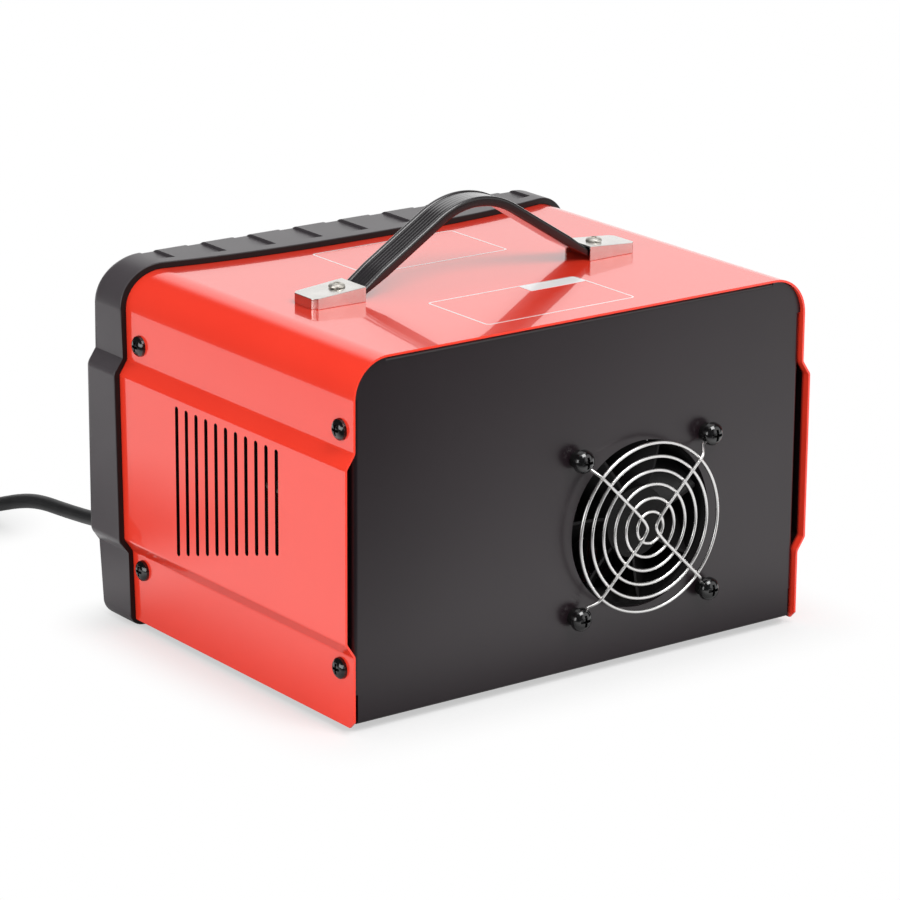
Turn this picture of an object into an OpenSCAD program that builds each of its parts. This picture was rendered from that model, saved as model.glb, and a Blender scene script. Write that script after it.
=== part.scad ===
// Battery charger with a jump-start output.
// Millimetres, +Z up, front towards -Y. The origin is on the floor, under the middle of the housing.

/* [Cover] */
// Width over the flat sides of the cover
cover_w = 243.5; // [225:0.5:270]
// Height of the cover from its lower edge to its top
cover_h = 160.6; // [152:0.2:190]
// Length of the cover from its back edge to its hidden front edge
cover_len = 184; // [176:1:220]
// Thickness of the cover's steel sheet
cover_t = 1; // [0.8:0.1:1.4]
// Outer bend radius of the cover's two top corners
cover_r = 17.5; // [12:0.5:24]
// How far the pressed side bands stand out
band_out = 4.2; // [2:0.1:6]
// Height of the band's lower crease above the cover's lower edge
band_low = 32; // [29.5:0.5:34]
// Height of the band's upper crease above the cover's lower edge
band_high = 120.8; // [118:0.2:123]
// Height of each slanted strip between the flat side and the band
band_slope = 6.2; // [4:0.1:8]
// Outer bend radius of the creases along the bands
crease_r = 2.5; // [1.5:0.1:4]
// Gap between the housing and the floor
floor_gap = 3; // [2:0.5:6]
// Chamfer at the cover's lower back corners
corner_cut = 3; // [1:0.5:5]

/* [Vent slots] */
// Number of slots in each side
slot_count = 11; // [5:1:12]
// Distance between neighbouring slots
slot_pitch = 7.76; // [6:0.01:8.5]
// Width of one slot
slot_w = 2.6; // [1.5:0.1:3]
// Distance from the cover's back edge to the rearmost slot
slot_back = 50.6; // [40:0.1:60]
// Height of the slots' upper ends above the cover's lower edge
slot_top = 111; // [90:0.5:112]
// Height of the front slot's lower end above the cover's lower edge
slot_low = 42.5; // [40:0.5:60]
// How much higher each slot further back starts
slot_rise = 2.15; // [0:0.05:2.5]

/* [Cover screws] */
// Diameter of a cover screw's head
side_head_d = 9.6; // [8:0.1:11]
// Height of a cover screw's head
side_head_h = 3; // [2.4:0.1:4]
// Diameter of a cover screw's shank
side_shank_d = 3.9; // [3:0.1:4.2]
// Length of a cover screw under its head
side_shank_l = 8; // [6:0.5:12]
// Height of the lower cover screws above the cover's lower edge
side_low_z = 25; // [20:0.1:26]
// Height of the upper cover screws above the cover's lower edge
side_high_z = 129.3; // [127:0.1:134]
// Distance from the cover's back edge to the rear cover screws
side_back_y = 9.4; // [7:0.1:12]
// Distance from the cover's hidden front edge to the front cover screws
side_front_y = 19.7; // [18:0.1:24]

/* [Chassis] */
// Thickness of the chassis steel
steel_t = 1.2; // [1:0.1:1.5]
// Outer bend radius of the chassis steel
steel_r = 2.2; // [1.8:0.1:3]
// Clearance between the chassis flanges and the cover
cover_gap = 0.3; // [0.2:0.1:0.8]
// Depth of the back panel inside the cover's back edge
panel_in = 1.9; // [1:0.1:4]
// Length of the back panel's flanges
back_flange = 14; // [12:0.5:20]
// Length of the front panel's flanges
front_flange = 24; // [22:0.5:30]
// Height of the tray's underside above the cover's lower edge
tray_up = 0.8; // [0.6:0.1:4]
// Height of the tray's side lips
tray_lip = 12; // [8:0.5:14]
// Number of cooling slots in each row of the tray's floor
floor_slots = 9; // [3:1:10]
// Distance between the cooling slots in the tray's floor
floor_slot_pitch = 9; // [7:0.5:9]

/* [Front frame] */
// Depth of the recess in front of the front panel
recess = 22.5; // [20:0.5:30]
// How far the cover reaches into the frame past the front panel
cover_lap = 6; // [3:0.5:9]
// How far the frame stands out from the cover
frame_proud = 3; // [3:0.1:6]
// Width of the frame's front rim
rim_w = 15.5; // [14.5:0.5:17]
// Wall thickness of the frame
frame_wall = 2.6; // [2:0.1:3]
// Distance that the frame laps over the cover at the sides
lap_side = 8.5; // [6:0.5:12]
// Extra lap at the middle of the top and the bottom
lap_bow = 13; // [0:0.5:16]
// Fillet radius round the frame's front edge
frame_fillet = 5; // [4:0.5:6]
// Fillet radius of the frame's back edge
back_fillet = 1.6; // [1:0.1:2]
// How far the frame's front leans back at the top
top_lean = 5.5; // [0:0.5:8]
// How far the frame's front leans back at the bottom
chin_lean = 4; // [0:0.5:6]
// Radius of the frame's lower outer corners
foot_r = 6; // [4:0.5:6]
// Number of shallow recesses across the frame's top
grip_count = 9; // [3:2:9]
// Distance between the recesses
grip_pitch = 25; // [20:0.5:25]
// Width of one recess
grip_w = 9.2; // [5:0.1:12]
// Depth of one recess
grip_depth = 1.3; // [0.5:0.1:1.5]
// Distance from the recesses' ends to the frame's back edge
grip_stop = 7; // [4:0.5:10]

/* [Feet] */
// Diameter of a rear foot
foot_d = 18; // [12:0.5:24]
// Distance of the rear feet from the housing's sides
foot_side = 18; // [14:0.5:30]
// Distance of the rear feet from the cover's back edge
foot_back = 32; // [14:0.5:36]

/* [Fan] */
// Distance of the fan's screws from the edges of its square frame
fan_edge = 4.25; // [3.5:0.05:6]
// Depth of the fan
fan_depth = 25; // [20:1:32]
// Distance between the fan's screws
fan_pitch = 71.5; // [70:0.5:74]
// Sideways place of the fan's axis
fan_x = -31.9; // [-50:0.1:-10]
// Height of the fan's axis above the cover's lower edge
fan_up = 61.6; // [50:0.1:90]
// Radius of the fan's air duct
duct_r = 36.5; // [34:0.5:37]
// Radius of the impeller's hub
hub_r = 16; // [12:0.5:18]
// Gap between the blade tips and the duct
tip_gap = 1; // [0.6:0.1:2]
// Number of fan blades
blade_count = 7; // [5:1:9]
// Thickness of a fan blade
blade_t = 1.4; // [1:0.1:2]

/* [Fan guard] */
// Diameter of the guard's wire
wire_d = 1.5; // [1.2:0.1:2.2]
// Number of rings
ring_count = 6; // [4:1:6]
// Radius of the smallest ring
ring_first = 7.1; // [6:0.1:9]
// Distance between neighbouring rings
ring_pitch = 6.2; // [4:0.05:6.3]
// Distance of the rings' plane from the back panel
guard_stand = 6.7; // [5:0.1:9]
// Height of the spacers under the guard's eyes
spacer_h = 2.7; // [1:0.1:3.5]
// Diameter of a spacer
spacer_d = 8; // [7:0.1:9]
// Distance of each spoke wire's bend from the guard's centre
spoke_split = 2.3; // [1.5:0.1:5]
// Diameter of a fan screw's head
fan_head_d = 10.6; // [8:0.1:11]
// Height of a fan screw's head
fan_head_h = 4.5; // [2.4:0.1:6]
// Diameter of a fan screw's shank
fan_shank_d = 4; // [3:0.1:4.2]

/* [Handle] */
// Sideways place of the handle's middle
handle_x = 3; // [-10:0.5:10]
// Distance from the cover's back edge to the handle's middle
handle_back = 82.2; // [60:0.1:100]
// Distance from the handle's middle to each cap's mouth
cap_mouth = 61; // [52:0.5:66]
// Length of an end cap
cap_l = 26.5; // [24:0.5:34]
// Width of an end cap at its mouth
cap_w = 18.4; // [18:0.1:24]
// Width of an end cap at its outer end
cap_end_w = 17; // [15:0.1:20]
// Height of an end cap at its mouth
cap_h = 6.8; // [6.4:0.1:9]
// Height of an end cap at its outer end
cap_end_h = 4.8; // [4.6:0.1:6]
// Sheet thickness of an end cap
cap_t = 0.9; // [0.6:0.1:1]
// Width of the strap
strap_w = 15.5; // [14:0.5:16]
// Thickness of the strap
strap_t = 4.6; // [3:0.1:5]
// Slope of the strap's straight flanks, in degrees
strap_slope = 32; // [26:0.5:36]
// Radius of the strap's middle line at its peak
strap_r = 36.3; // [20:0.1:45]
// Distance from the handle's middle to each handle screw
handle_screw = 70; // [68:0.5:74]
// Diameter of a handle screw's head
handle_head_d = 7.4; // [7:0.1:10]

/* [Front controls] */
// Height of the ammeter and the rockers above the cover's lower edge
upper_row = 112; // [106:0.5:118]
// Height of the selector and the breaker above the cover's lower edge
middle_row = 50; // [46:0.5:58]
// Height of the leads' outlets above the cover's lower edge
lower_row = 27; // [26:0.5:32]
// Distance of each rocker from the middle
rocker_x = 78; // [60:1:86]
// Sideways place of the current selector
selector_x = -22; // [-30:1:-10]
// Sideways place of the thermal breaker
breaker_x = 42; // [30:1:60]
// Sideways place of the mains lead
mains_x = 100; // [90:1:101]
// Distance of the outer output lead from the cover's side
output_side = 25.75; // [24:0.25:33]
// Distance between the two output leads
output_pitch = 30; // [24:1:36]
// Bore for an output lead
output_bore = 10; // [8:0.5:10.5]
// Width of the ammeter's face
meter_w = 64; // [56:1:70]
// Height of the ammeter's face
meter_h = 54; // [50:1:58]
// Diameter of the selector knob
knob_d = 34; // [26:1:38]
// Height of the selector knob
knob_h = 13; // [11:0.5:15]
// Travel of the breaker's reset button
button_travel = 3; // [2:0.5:4]

/* [Transformer and rectifier] */
// Distance of the transformer's middle from the cover's side
core_side = 79.75; // [72:0.25:83]
// Distance from the front panel to the transformer's laminations
core_set = 36; // [35:0.5:40]
// Width of the transformer's laminations
core_w = 96; // [90:1:98]
// Height of the transformer's laminations
core_h = 80; // [76:1:86]
// Thickness of the lamination stack
core_t = 50; // [40:1:56]
// Distance of the heat sink's middle from the cover's side
sink_side = 49.75; // [42:0.25:55]
// Distance from the cover's back edge to the heat sink
sink_back = 112; // [104:1:118]
// Number of fins on the heat sink
fin_count = 7; // [5:1:9]

/* [Mains lead] */
// Diameter of the mains lead
lead_d = 7; // [6:0.5:8]
// Length of the strain relief in front of the front panel
relief_l = 35; // [25:1:50]

/* [Hidden] */
$fn = 48;

// Overshoot of a cut past the face that it opens
cut = 1;
// Number of facets on a small hidden screw or nut
small_fn = 24;
// Radial clearance of a running fit and of a screw in its hole
fit = 0.08;
// Clearance round a part that stands in a cut-out
slip = 0.2;

// Heights and depths of the main planes
cover_bottom = floor_gap;
cover_top = cover_bottom + cover_h;
weld = 0.2;
guard_out = guard_stand - panel_in + 1.5 * wire_d - weld;
frame_reach = cover_len - cover_lap + recess;
back_y = (frame_reach - guard_out) / 2;
cover_front_y = back_y - cover_len;
panel_y = back_y - panel_in;
panel_inner_y = panel_y - steel_t;
front_y = cover_front_y + cover_lap;
frame_y = front_y - recess;
tray_z = cover_bottom + tray_up;
deck_z = tray_z + steel_t;
chassis_hw = cover_w / 2 - cover_t - cover_gap;
chassis_top = cover_top - cover_t - cover_gap;
corner_in = cover_r - cover_t - cover_gap;
flange_low = tray_z + tray_lip + 1.5;
flange_high = cover_top - cover_r;
side_zs = [cover_bottom + side_low_z, cover_bottom + side_high_z];
side_ys = [back_y - side_back_y, cover_front_y + side_front_y];
fan_z = cover_bottom + fan_up;
handle_y = back_y - handle_back;
output_x = output_side - cover_w / 2;
fan_hole_r = duct_r + 1.4;
core_x = cover_w / 2 - core_side;
sink_x = sink_side - cover_w / 2;

// Colours
red = [0.86, 0.09, 0.07];
black_steel = [0.10, 0.10, 0.11];
grey_plastic = [0.17, 0.17, 0.18];
black_plastic = [0.05, 0.05, 0.055];
bright_metal = [0.80, 0.80, 0.80];
black_rubber = [0.06, 0.06, 0.065];
clear_plastic = [0.80, 0.90, 0.95, 0.35];
copper = [0.72, 0.40, 0.20];

// Route of the free lead, from the strain relief to the coil, and of its tail to the plug
lead_route = [
    [100, -116, 30], [100, -126, 30], [100, -136, 29], [100, -147, 27.4], [100, -162, 25.8],
    [100, -176, 24.6], [100, -190, 23.4], [100, -202, 21.4], [100, -214, 18.2], [100, -226, 14.2],
    [100, -238, 10], [100, -248, 7], [100, -257, 5]
];
tail_route = [
    [202.5, -261.5, 9.8], [203.6, -250, 6.6], [203.9, -239, 4.6], [202.8, -227.5, 5.6],
    [200.1, -216.3, 7], [196, -205, 7]
];
coil_centre = [150, -285, 0];
coil_inner = 25;
coil_outer = 54;
coil_h = 14.2;
plug_at = tail_route[len(tail_route) - 1];
plug_way = plug_at - tail_route[len(tail_route) - 2];
plug_turn = atan2(plug_way[1], plug_way[0]);

// Plane geometry

function unit(v) = v / norm(v);
function left_of(v) = [-v[1], v[0]];
function cross2(a, b) = a[0] * b[1] - a[1] * b[0];
function wrapped(a) = a > 180 ? a - 360 : a < -180 ? a + 360 : a;
function flip(pts) = [for (i = [len(pts) - 1:-1:0]) pts[i]];
function mirrored(pts) = [for (i = [len(pts) - 1:-1:0]) [-pts[i][0], pts[i][1]]];

// Corner b of a path through a, b and c, rounded to radius r with n chords
function corner(a, b, c, r, n) =
    let (u = unit(a - b), v = unit(c - b), half = acos(u * v) / 2)
    n < 1 || half > 89.9 ? [b] :
    let (
        centre = b + unit(u + v) * r / sin(half),
        from = b + u * r / tan(half) - centre,
        to = b + v * r / tan(half) - centre,
        start = atan2(from[1], from[0]),
        sweep = wrapped(atan2(to[1], to[0]) - start)
    )
    [for (i = [0:n]) centre + r * [cos(start + sweep * i / n), sin(start + sweep * i / n)]];

// Open and closed paths with rounded corners; radii and chords go with the corners
function rounded_open(pts, radii, chords) = [
    for (i = [0:len(pts) - 1])
        each (i == 0 || i == len(pts) - 1) ? [pts[i]]
            : corner(pts[i - 1], pts[i], pts[i + 1], radii[i], chords[i])
];
function rounded_closed(pts, radii, chords) =
    let (n = len(pts))
    [
        for (i = [0:n - 1])
            each corner(pts[(i + n - 1) % n], pts[i], pts[(i + 1) % n], radii[i], chords[i])
    ];

// An open path moved to its left by d
function moved(pts, d) =
    let (
        last = len(pts) - 1,
        ways = [for (i = [0:last - 1]) left_of(unit(pts[i + 1] - pts[i]))]
    )
    [
        for (i = [0:last])
            i == 0 ? pts[0] + ways[0] * d
            : i == last ? pts[last] + ways[last - 1] * d
            : pts[i] + (ways[i - 1] + ways[i]) * d / (1 + ways[i - 1] * ways[i])
    ];

// Radii of the same path's corners after the move: tighter on a left turn, wider on a right turn
function moved_radii(pts, radii, d) = [
    for (i = [0:len(pts) - 1])
        i == 0 || i == len(pts) - 1 ? 0
        : cross2(pts[i] - pts[i - 1], pts[i + 1] - pts[i]) > 0 ? max(radii[i] - d, 0.3)
        : radii[i] + d
];

// Outline of a sheet of thickness t to the left of a path
function sheet(pts, radii, chords, t) = concat(
    rounded_open(pts, radii, chords),
    flip(rounded_open(moved(pts, t), moved_radii(pts, radii, t), chords))
);

// Outer line of the cover's section, up the right side, over the top and down the left side
cover_right = [
    [cover_w / 2, cover_bottom],
    [cover_w / 2, cover_bottom + band_low],
    [cover_w / 2 + band_out, cover_bottom + band_low + band_slope],
    [cover_w / 2 + band_out, cover_bottom + band_high - band_slope],
    [cover_w / 2, cover_bottom + band_high],
    [cover_w / 2, cover_top]
];
cover_line = concat(cover_right, mirrored(cover_right));
right_radii = [0, crease_r, crease_r, crease_r, crease_r, cover_r];
cover_radii = concat(right_radii, flip(right_radii));
right_chords = [0, 2, 2, 2, 2, 14];
cover_chords = concat(right_chords, flip(right_chords));

// Solid helpers

// A section in X and Z, from y0 towards the front
module along_y(y0, length) {
    translate([0, y0, 0]) rotate([90, 0, 0]) linear_extrude(length) children();
}

// A section in Y and Z, from x0 towards the right
module along_x(x0, length) {
    translate([x0, 0, 0]) rotate([90, 0, 90]) linear_extrude(length) children();
}

module block(low, high) {
    translate(low) cube(high - low);
}

module bar_x(x0, y, z, d, length) {
    translate([x0, y, z]) rotate([0, 90, 0]) cylinder(d = d, h = length);
}

module bar_y(x, y0, z, d, length) {
    translate([x, y0, z]) rotate([-90, 0, 0]) cylinder(d = d, h = length);
}

// An upright slot with round ends, between two heights
module slot_shape(x, low, high, w) {
    translate([x - w / 2, low + w / 2]) square([w, high - low - w]);
    translate([x, low + w / 2]) circle(d = w, $fn = small_fn);
    translate([x, high - w / 2]) circle(d = w, $fn = small_fn);
}

// A bent wire through a row of points
module wire(pts, d) {
    for (i = [0:len(pts) - 2])
        hull()
            for (p = [pts[i], pts[i + 1]]) translate(p) sphere(d = d, $fn = 8);
}

// A pan-head screw with a cross recess, its head's seat at z = 0 and its shank below
module pan_screw(head_d, head_h, shank_d, shank_l) {
    rim = head_h * 0.12;
    arm = head_d * 0.5;
    arm_w = head_d * 0.12;
    difference() {
        rotate_extrude()
            polygon(concat(
                [[0, 0]],
                [for (a = [0:18:90]) [head_d / 2 * cos(a), a == 0 ? 0 : rim + (head_h - rim) * sin(a)]]
            ));
        for (a = [0, 90])
            rotate([0, 0, a])
                translate([-arm / 2, -arm_w / 2, head_h * 0.45]) cube([arm, arm_w, head_h]);
    }
    translate([0, 0, -shank_l]) cylinder(d = shank_d, h = shank_l, $fn = small_fn);
}

module hex_nut(flats, bore, h) {
    difference() {
        cylinder(d = flats / cos(30), h = h, $fn = 6);
        translate([0, 0, -cut]) cylinder(d = bore, h = h + 2 * cut, $fn = small_fn);
    }
}

// Places a part on the front panel: its own +Z points out of the front and its +Y points up
module on_front(x, up) {
    translate([x, front_y, cover_bottom + up]) rotate([90, 0, 0]) children();
}

// Places a part on the back panel: its own +Z points out of the back and its +Y points up
module on_back(x, z) {
    translate([x, panel_y, z]) rotate([90, 0, 180]) children();
}

module fan_corners() {
    for (sx = [-1, 1], sy = [-1, 1])
        translate([sx * fan_pitch / 2, sy * fan_pitch / 2, 0]) children();
}

// Cover

module cover_section() {
    polygon(sheet(cover_line, cover_radii, cover_chords, cover_t));
}

module vent_slots() {
    for (i = [0:slot_count - 1])
        slot_shape(
            back_y - slot_back - i * slot_pitch,
            cover_bottom + slot_low + (slot_count - 1 - i) * slot_rise,
            cover_bottom + slot_top,
            slot_w
        );
}

module top_cover() {
    reach = cover_w / 2 + band_out + cut;
    color(red)
        difference() {
            along_y(back_y, cover_len) cover_section();
            along_x(-reach, 2 * reach) vent_slots();
            for (y = side_ys, z = side_zs)
                bar_x(-reach, y, z, side_shank_d + 2 * slip, 2 * reach);
            for (s = [-1, 1])
                translate([handle_x + s * handle_screw, handle_y, cover_top - 2 * cover_t])
                    cylinder(d = handle_shank_d + 2 * slip, h = 3 * cover_t);
            along_x(-reach, 2 * reach)
                polygon([
                    [back_y - corner_cut, cover_bottom - cut],
                    [back_y + cut, cover_bottom - cut],
                    [back_y + cut, cover_bottom + corner_cut],
                    [back_y, cover_bottom + corner_cut],
                    [back_y - corner_cut, cover_bottom]
                ]);
        }
}

// Chassis

// Holes for the cover screws through a pair of flanges
module flange_holes(y) {
    for (z = side_zs)
        bar_x(-chassis_hw - cut, y, z, side_shank_d + 2 * fit, 2 * chassis_hw + 2 * cut);
}

// A panel with its face at y = 0 and flanges of length reach towards -Y. It ends at z = low.
module wall_pan(low, reach) {
    flange_line = [[chassis_hw, -reach], [chassis_hw, 0], [-chassis_hw, 0], [-chassis_hw, -reach]];
    top_line = [[-reach, chassis_top], [0, chassis_top], [0, chassis_top - corner_in]];
    top_hw = chassis_hw - corner_in;
    bend = [0, steel_r, 0];
    turn = [0, 5, 0];
    translate([0, 0, flange_low])
        linear_extrude(flange_high - flange_low)
            polygon(sheet(flange_line, [0, steel_r, steel_r, 0], [0, 5, 5, 0], steel_t));
    difference() {
        along_y(0, steel_t)
            polygon(rounded_closed(
                [
                    [chassis_hw - steel_r, low], [chassis_hw - steel_r, flange_low],
                    [chassis_hw - steel_r, flange_high], [chassis_hw, flange_high],
                    [chassis_hw, chassis_top], [-chassis_hw, chassis_top],
                    [-chassis_hw, flange_high], [steel_r - chassis_hw, flange_high],
                    [steel_r - chassis_hw, flange_low], [steel_r - chassis_hw, low]
                ],
                [0, 0, 0, 0, corner_in, corner_in, 0, 0, 0, 0],
                [0, 0, 0, 0, 12, 12, 0, 0, 0, 0]
            ));
        block([-top_hw, -steel_t - cut, chassis_top - steel_r], [top_hw, cut, chassis_top + cut]);
    }
    along_x(-top_hw, 2 * top_hw)
        polygon(sheet(flip(top_line), bend, turn, steel_t));
}

module chassis_tray() {
    floor_line = [
        [-chassis_hw, tray_z + tray_lip], [-chassis_hw, tray_z],
        [chassis_hw, tray_z], [chassis_hw, tray_z + tray_lip]
    ];
    back_line = [
        [front_y + steel_t + slip, tray_z], [panel_y, tray_z], [panel_y, tray_z + tray_lip]
    ];
    floor_hw = chassis_hw - steel_r;
    floor_len = panel_y - steel_r - front_y - steel_t - slip;
    color(black_steel)
        difference() {
            union() {
                translate([0, panel_y, 0]) wall_pan(tray_z + steel_r, back_flange);
                along_x(-floor_hw, 2 * floor_hw)
                    polygon(sheet(back_line, [0, steel_r, 0], [0, 5, 0], steel_t));
                along_y(panel_y - steel_r, floor_len)
                    polygon(sheet(floor_line, [0, steel_r, steel_r, 0], [0, 5, 5, 0], steel_t));
            }
            bar_y(fan_x, panel_inner_y - cut, fan_z, 2 * fan_hole_r, steel_t + 2 * cut);
            on_back(fan_x, fan_z)
                fan_corners()
                    translate([0, 0, -steel_t - cut])
                        cylinder(d = fan_shank_d + 2 * fit, h = steel_t + 2 * cut);
            flange_holes(side_ys[0]);
            for (s = [-1, 1])
                translate([s * foot_x, foot_y, tray_z - cut])
                    cylinder(d = foot_screw_d + 2 * fit, h = steel_t + 2 * cut);
            bracket_places()
                translate([0, 0, tray_z - cut])
                    cylinder(d = bracket_screw_d + 2 * fit, h = steel_t + 2 * cut);
            sink_places()
                translate([0, 0, tray_z - cut])
                    cylinder(d = sink_screw_d, h = steel_t + 2 * cut);
            for (row = [-1, 1], i = [0:floor_slots - 1])
                translate([
                    core_x - row * core_t * 0.9,
                    core_y + (i - (floor_slots - 1) / 2) * floor_slot_pitch,
                    tray_z - cut
                ])
                    linear_extrude(steel_t + 2 * cut)
                        rotate(90) slot_shape(0, -9, 9, 3);
        }
}

// Front panel

module front_holes(h) {
    on_front(0, upper_row)
        translate([0, 0, -h]) cylinder(d = meter_can_d + 2 * slip, h = h + cut);
    for (s = [-1, 1])
        on_front(s * rocker_x, upper_row)
            translate([-rocker_can_w / 2 - slip, -rocker_can_h / 2 - slip, -h])
                cube([rocker_can_w + 2 * slip, rocker_can_h + 2 * slip, h + cut]);
    on_front(selector_x, middle_row)
        translate([0, 0, -h]) cylinder(d = selector_bush_d + 2 * fit, h = h + cut);
    on_front(breaker_x, middle_row)
        translate([0, 0, -h]) cylinder(d = breaker_neck_d + 2 * fit, h = h + cut);
    on_front(mains_x, lower_row)
        translate([0, 0, -h]) cylinder(d = relief_neck_d + 2 * fit, h = h + cut);
    for (i = [0, 1])
        on_front(output_x + i * output_pitch, lower_row)
            translate([0, 0, -h]) cylinder(d = grommet_neck_d + 2 * fit, h = h + cut);
    frame_screw_places()
        translate([0, 0, -h]) cylinder(d = frame_screw_d + 2 * fit, h = h + cut);
}

module front_panel() {
    low_line = [
        [front_y, deck_z + tray_lip], [front_y, deck_z], [front_y + front_flange, deck_z]
    ];
    low_hw = chassis_hw - 2 * steel_r;
    color(black_steel)
        difference() {
            union() {
                translate([0, front_y, 0])
                    mirror([0, 1, 0]) wall_pan(deck_z + steel_r, front_flange);
                along_x(-low_hw, 2 * low_hw)
                    polygon(sheet(low_line, [0, steel_r, 0], [0, 5, 0], steel_t));
            }
            front_holes(steel_t + cut);
            flange_holes(side_ys[1]);
        }
}

// Front frame

// Frame outline, moved in from its outer face by d. The extra points along the top and the bottom
// let the back edge bow.
bow_xs = [0.8, 0.6, 0.4, 0.2, 0];
frame_right = concat(
    [for (i = [0:4]) cover_right[i] - [0, i == 0 ? cover_bottom : 0]],
    [cover_right[5]],
    [for (k = bow_xs) [k * (cover_w / 2 - cover_r), cover_top]]
);
frame_left = mirrored([for (i = [0:len(frame_right) - 2]) frame_right[i]]);
frame_line = concat(frame_right, frame_left);
frame_right_radii = concat(
    [foot_r, crease_r, crease_r, crease_r, crease_r, cover_r],
    [for (k = bow_xs) 1]
);
frame_radii = concat(
    frame_right_radii,
    flip([for (i = [0:len(frame_right_radii) - 2]) frame_right_radii[i]])
);
frame_right_chords = concat([4, 2, 2, 2, 2, 10], [for (k = bow_xs) 0]);
frame_chords = concat(
    frame_right_chords,
    flip([for (i = [0:len(frame_right_chords) - 2]) frame_right_chords[i]])
);

function frame_outline(d, low, foot) =
    let (
        line = moved(frame_line, d - frame_proud),
        last = len(line) - 1,
        floor_pts = [for (k = [-0.75, -0.5, -0.25, 0, 0.25, 0.5, 0.75]) [k * cover_w / 2, low]],
        pts = concat(
            [for (i = [0:last]) i == 0 || i == last ? [line[i][0], low] : line[i]],
            floor_pts
        ),
        turned = moved_radii(frame_line, frame_radii, d - frame_proud),
        radii = concat(
            [for (i = [0:last]) i == 0 || i == last ? foot : turned[i]],
            [for (p = floor_pts) 1]
        )
    )
    rounded_closed(pts, radii, concat(frame_chords, [for (p = floor_pts) 0]));

// Back edge of the frame, bowed towards the back at the middle
function frame_back(x) =
    cover_front_y + lap_side + lap_bow * (1 - pow(min(1, abs(x) / (cover_w / 2)), 2.6));

// Front face of the frame, which leans back near the top and the bottom
function eased(t) = let (k = min(1, max(0, t))) k * k;
function frame_front(z) =
    frame_y + top_lean * eased((z - cover_top + 24) / 28) + chin_lean * eased((35 - z) / 35);

// Section of the frame as rows of an inset from its outer face, a datum and a distance from it.
// The rows along the cover also give their own height above the floor.
BACK_EDGE = 0;
FRONT_FACE = 1;
COVER_EDGE = 2;
PANEL_FACE = 3;
lap_inset = frame_proud - slip;
lap_low = floor_gap - slip;
sharp = 0.3;
frame_section = concat(
    [[lap_inset, BACK_EDGE, 0, lap_low], [back_fillet, BACK_EDGE, 0]],
    [
        for (a = [45, 90])
            [back_fillet * (1 - sin(a)), BACK_EDGE, -back_fillet * (1 - cos(a))]
    ],
    [
        for (a = [90:-22.5:0])
            [frame_fillet * (1 - sin(a)), FRONT_FACE, frame_fillet * (1 - cos(a))]
    ],
    [[rim_w - 1.5, FRONT_FACE, 0], [rim_w, FRONT_FACE, 1.5], [rim_w, PANEL_FACE, 0]],
    [[rim_w - frame_wall, PANEL_FACE, 0], [rim_w - frame_wall, FRONT_FACE, frame_wall + 1]],
    [[frame_fillet, FRONT_FACE, frame_wall], [frame_wall, FRONT_FACE, frame_fillet + 1]],
    [[frame_wall, COVER_EDGE, -3], [lap_inset, COVER_EDGE, -1.5, lap_low]]
);

function datum(kind, p) =
    kind == BACK_EDGE ? frame_back(p[0])
    : kind == FRONT_FACE ? frame_front(p[1])
    : kind == COVER_EDGE ? cover_front_y
    : front_y;

function frame_ring(row) =
    let (
        low = len(row) > 3 ? row[3] : row[0],
        foot = len(row) > 3 ? sharp : max(foot_r - row[0], sharp)
    )
    [for (p = frame_outline(row[0], low, foot)) [p[0], datum(row[1], p) + row[2], p[1]]];

// Triangles of a closed band of rings
function ring_faces(rings, points) = [
    for (i = [0:rings - 1], j = [0:points - 1])
        let (
            a = i * points + j,
            b = i * points + (j + 1) % points,
            c = ((i + 1) % rings) * points + (j + 1) % points,
            d = ((i + 1) % rings) * points + j
        )
        each [[a, c, b], [a, d, c]]
];

module frame_screw_places() {
    for (s = [-1, 1], up = [frame_screw_low, frame_screw_high])
        on_front(s * frame_screw_x, up) children();
}

module front_frame() {
    rings = [for (row = frame_section) frame_ring(row)];
    count = len(rings[0]);
    color(grey_plastic)
        difference() {
            union() {
                difference() {
                    polyhedron([for (r = rings) each r], ring_faces(len(rings), count));
                    for (i = [0:grip_count - 1]) {
                        x = (i - (grip_count - 1) / 2) * grip_pitch;
                        block(
                            [x - grip_w / 2, frame_y - cut, cover_top + frame_proud - grip_depth],
                            [x + grip_w / 2, frame_back(x) - grip_stop, cover_top + frame_proud + cut]
                        );
                    }
                }
                frame_screw_places()
                    cylinder(d = frame_boss_d, h = recess - frame_wall - 1.5, $fn = small_fn);
            }
            frame_screw_places()
                translate([0, 0, -cut])
                    cylinder(d = frame_screw_d + 2 * fit, h = frame_screw_l, $fn = small_fn);
        }
}

// Screws and feet

handle_shank_d = 4;
frame_screw_d = 3;
frame_screw_l = 12;
frame_boss_d = 6.6;
frame_screw_x = cover_w / 2 + frame_proud - rim_w + frame_wall + 1;
frame_screw_low = 24;
frame_screw_high = cover_h - cover_r - 4;
foot_screw_d = 3.5;
foot_head_h = 0.42 * tray_z;
foot_x = cover_w / 2 - foot_side;
foot_y = back_y - foot_back;
bracket_screw_d = 4.5;
sink_screw_d = 3.4;

module side_screws() {
    color(black_plastic)
        for (s = [-1, 1], y = side_ys, z = side_zs)
            translate([s * cover_w / 2, y, z])
                rotate([0, s * 90, 0])
                    pan_screw(side_head_d, side_head_h, side_shank_d, side_shank_l);
}

module frame_screws() {
    color(bright_metal)
        frame_screw_places()
            translate([0, 0, -steel_t])
                mirror([0, 0, 1]) pan_screw(5.6, 2, frame_screw_d, frame_screw_l - 2);
}

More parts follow.
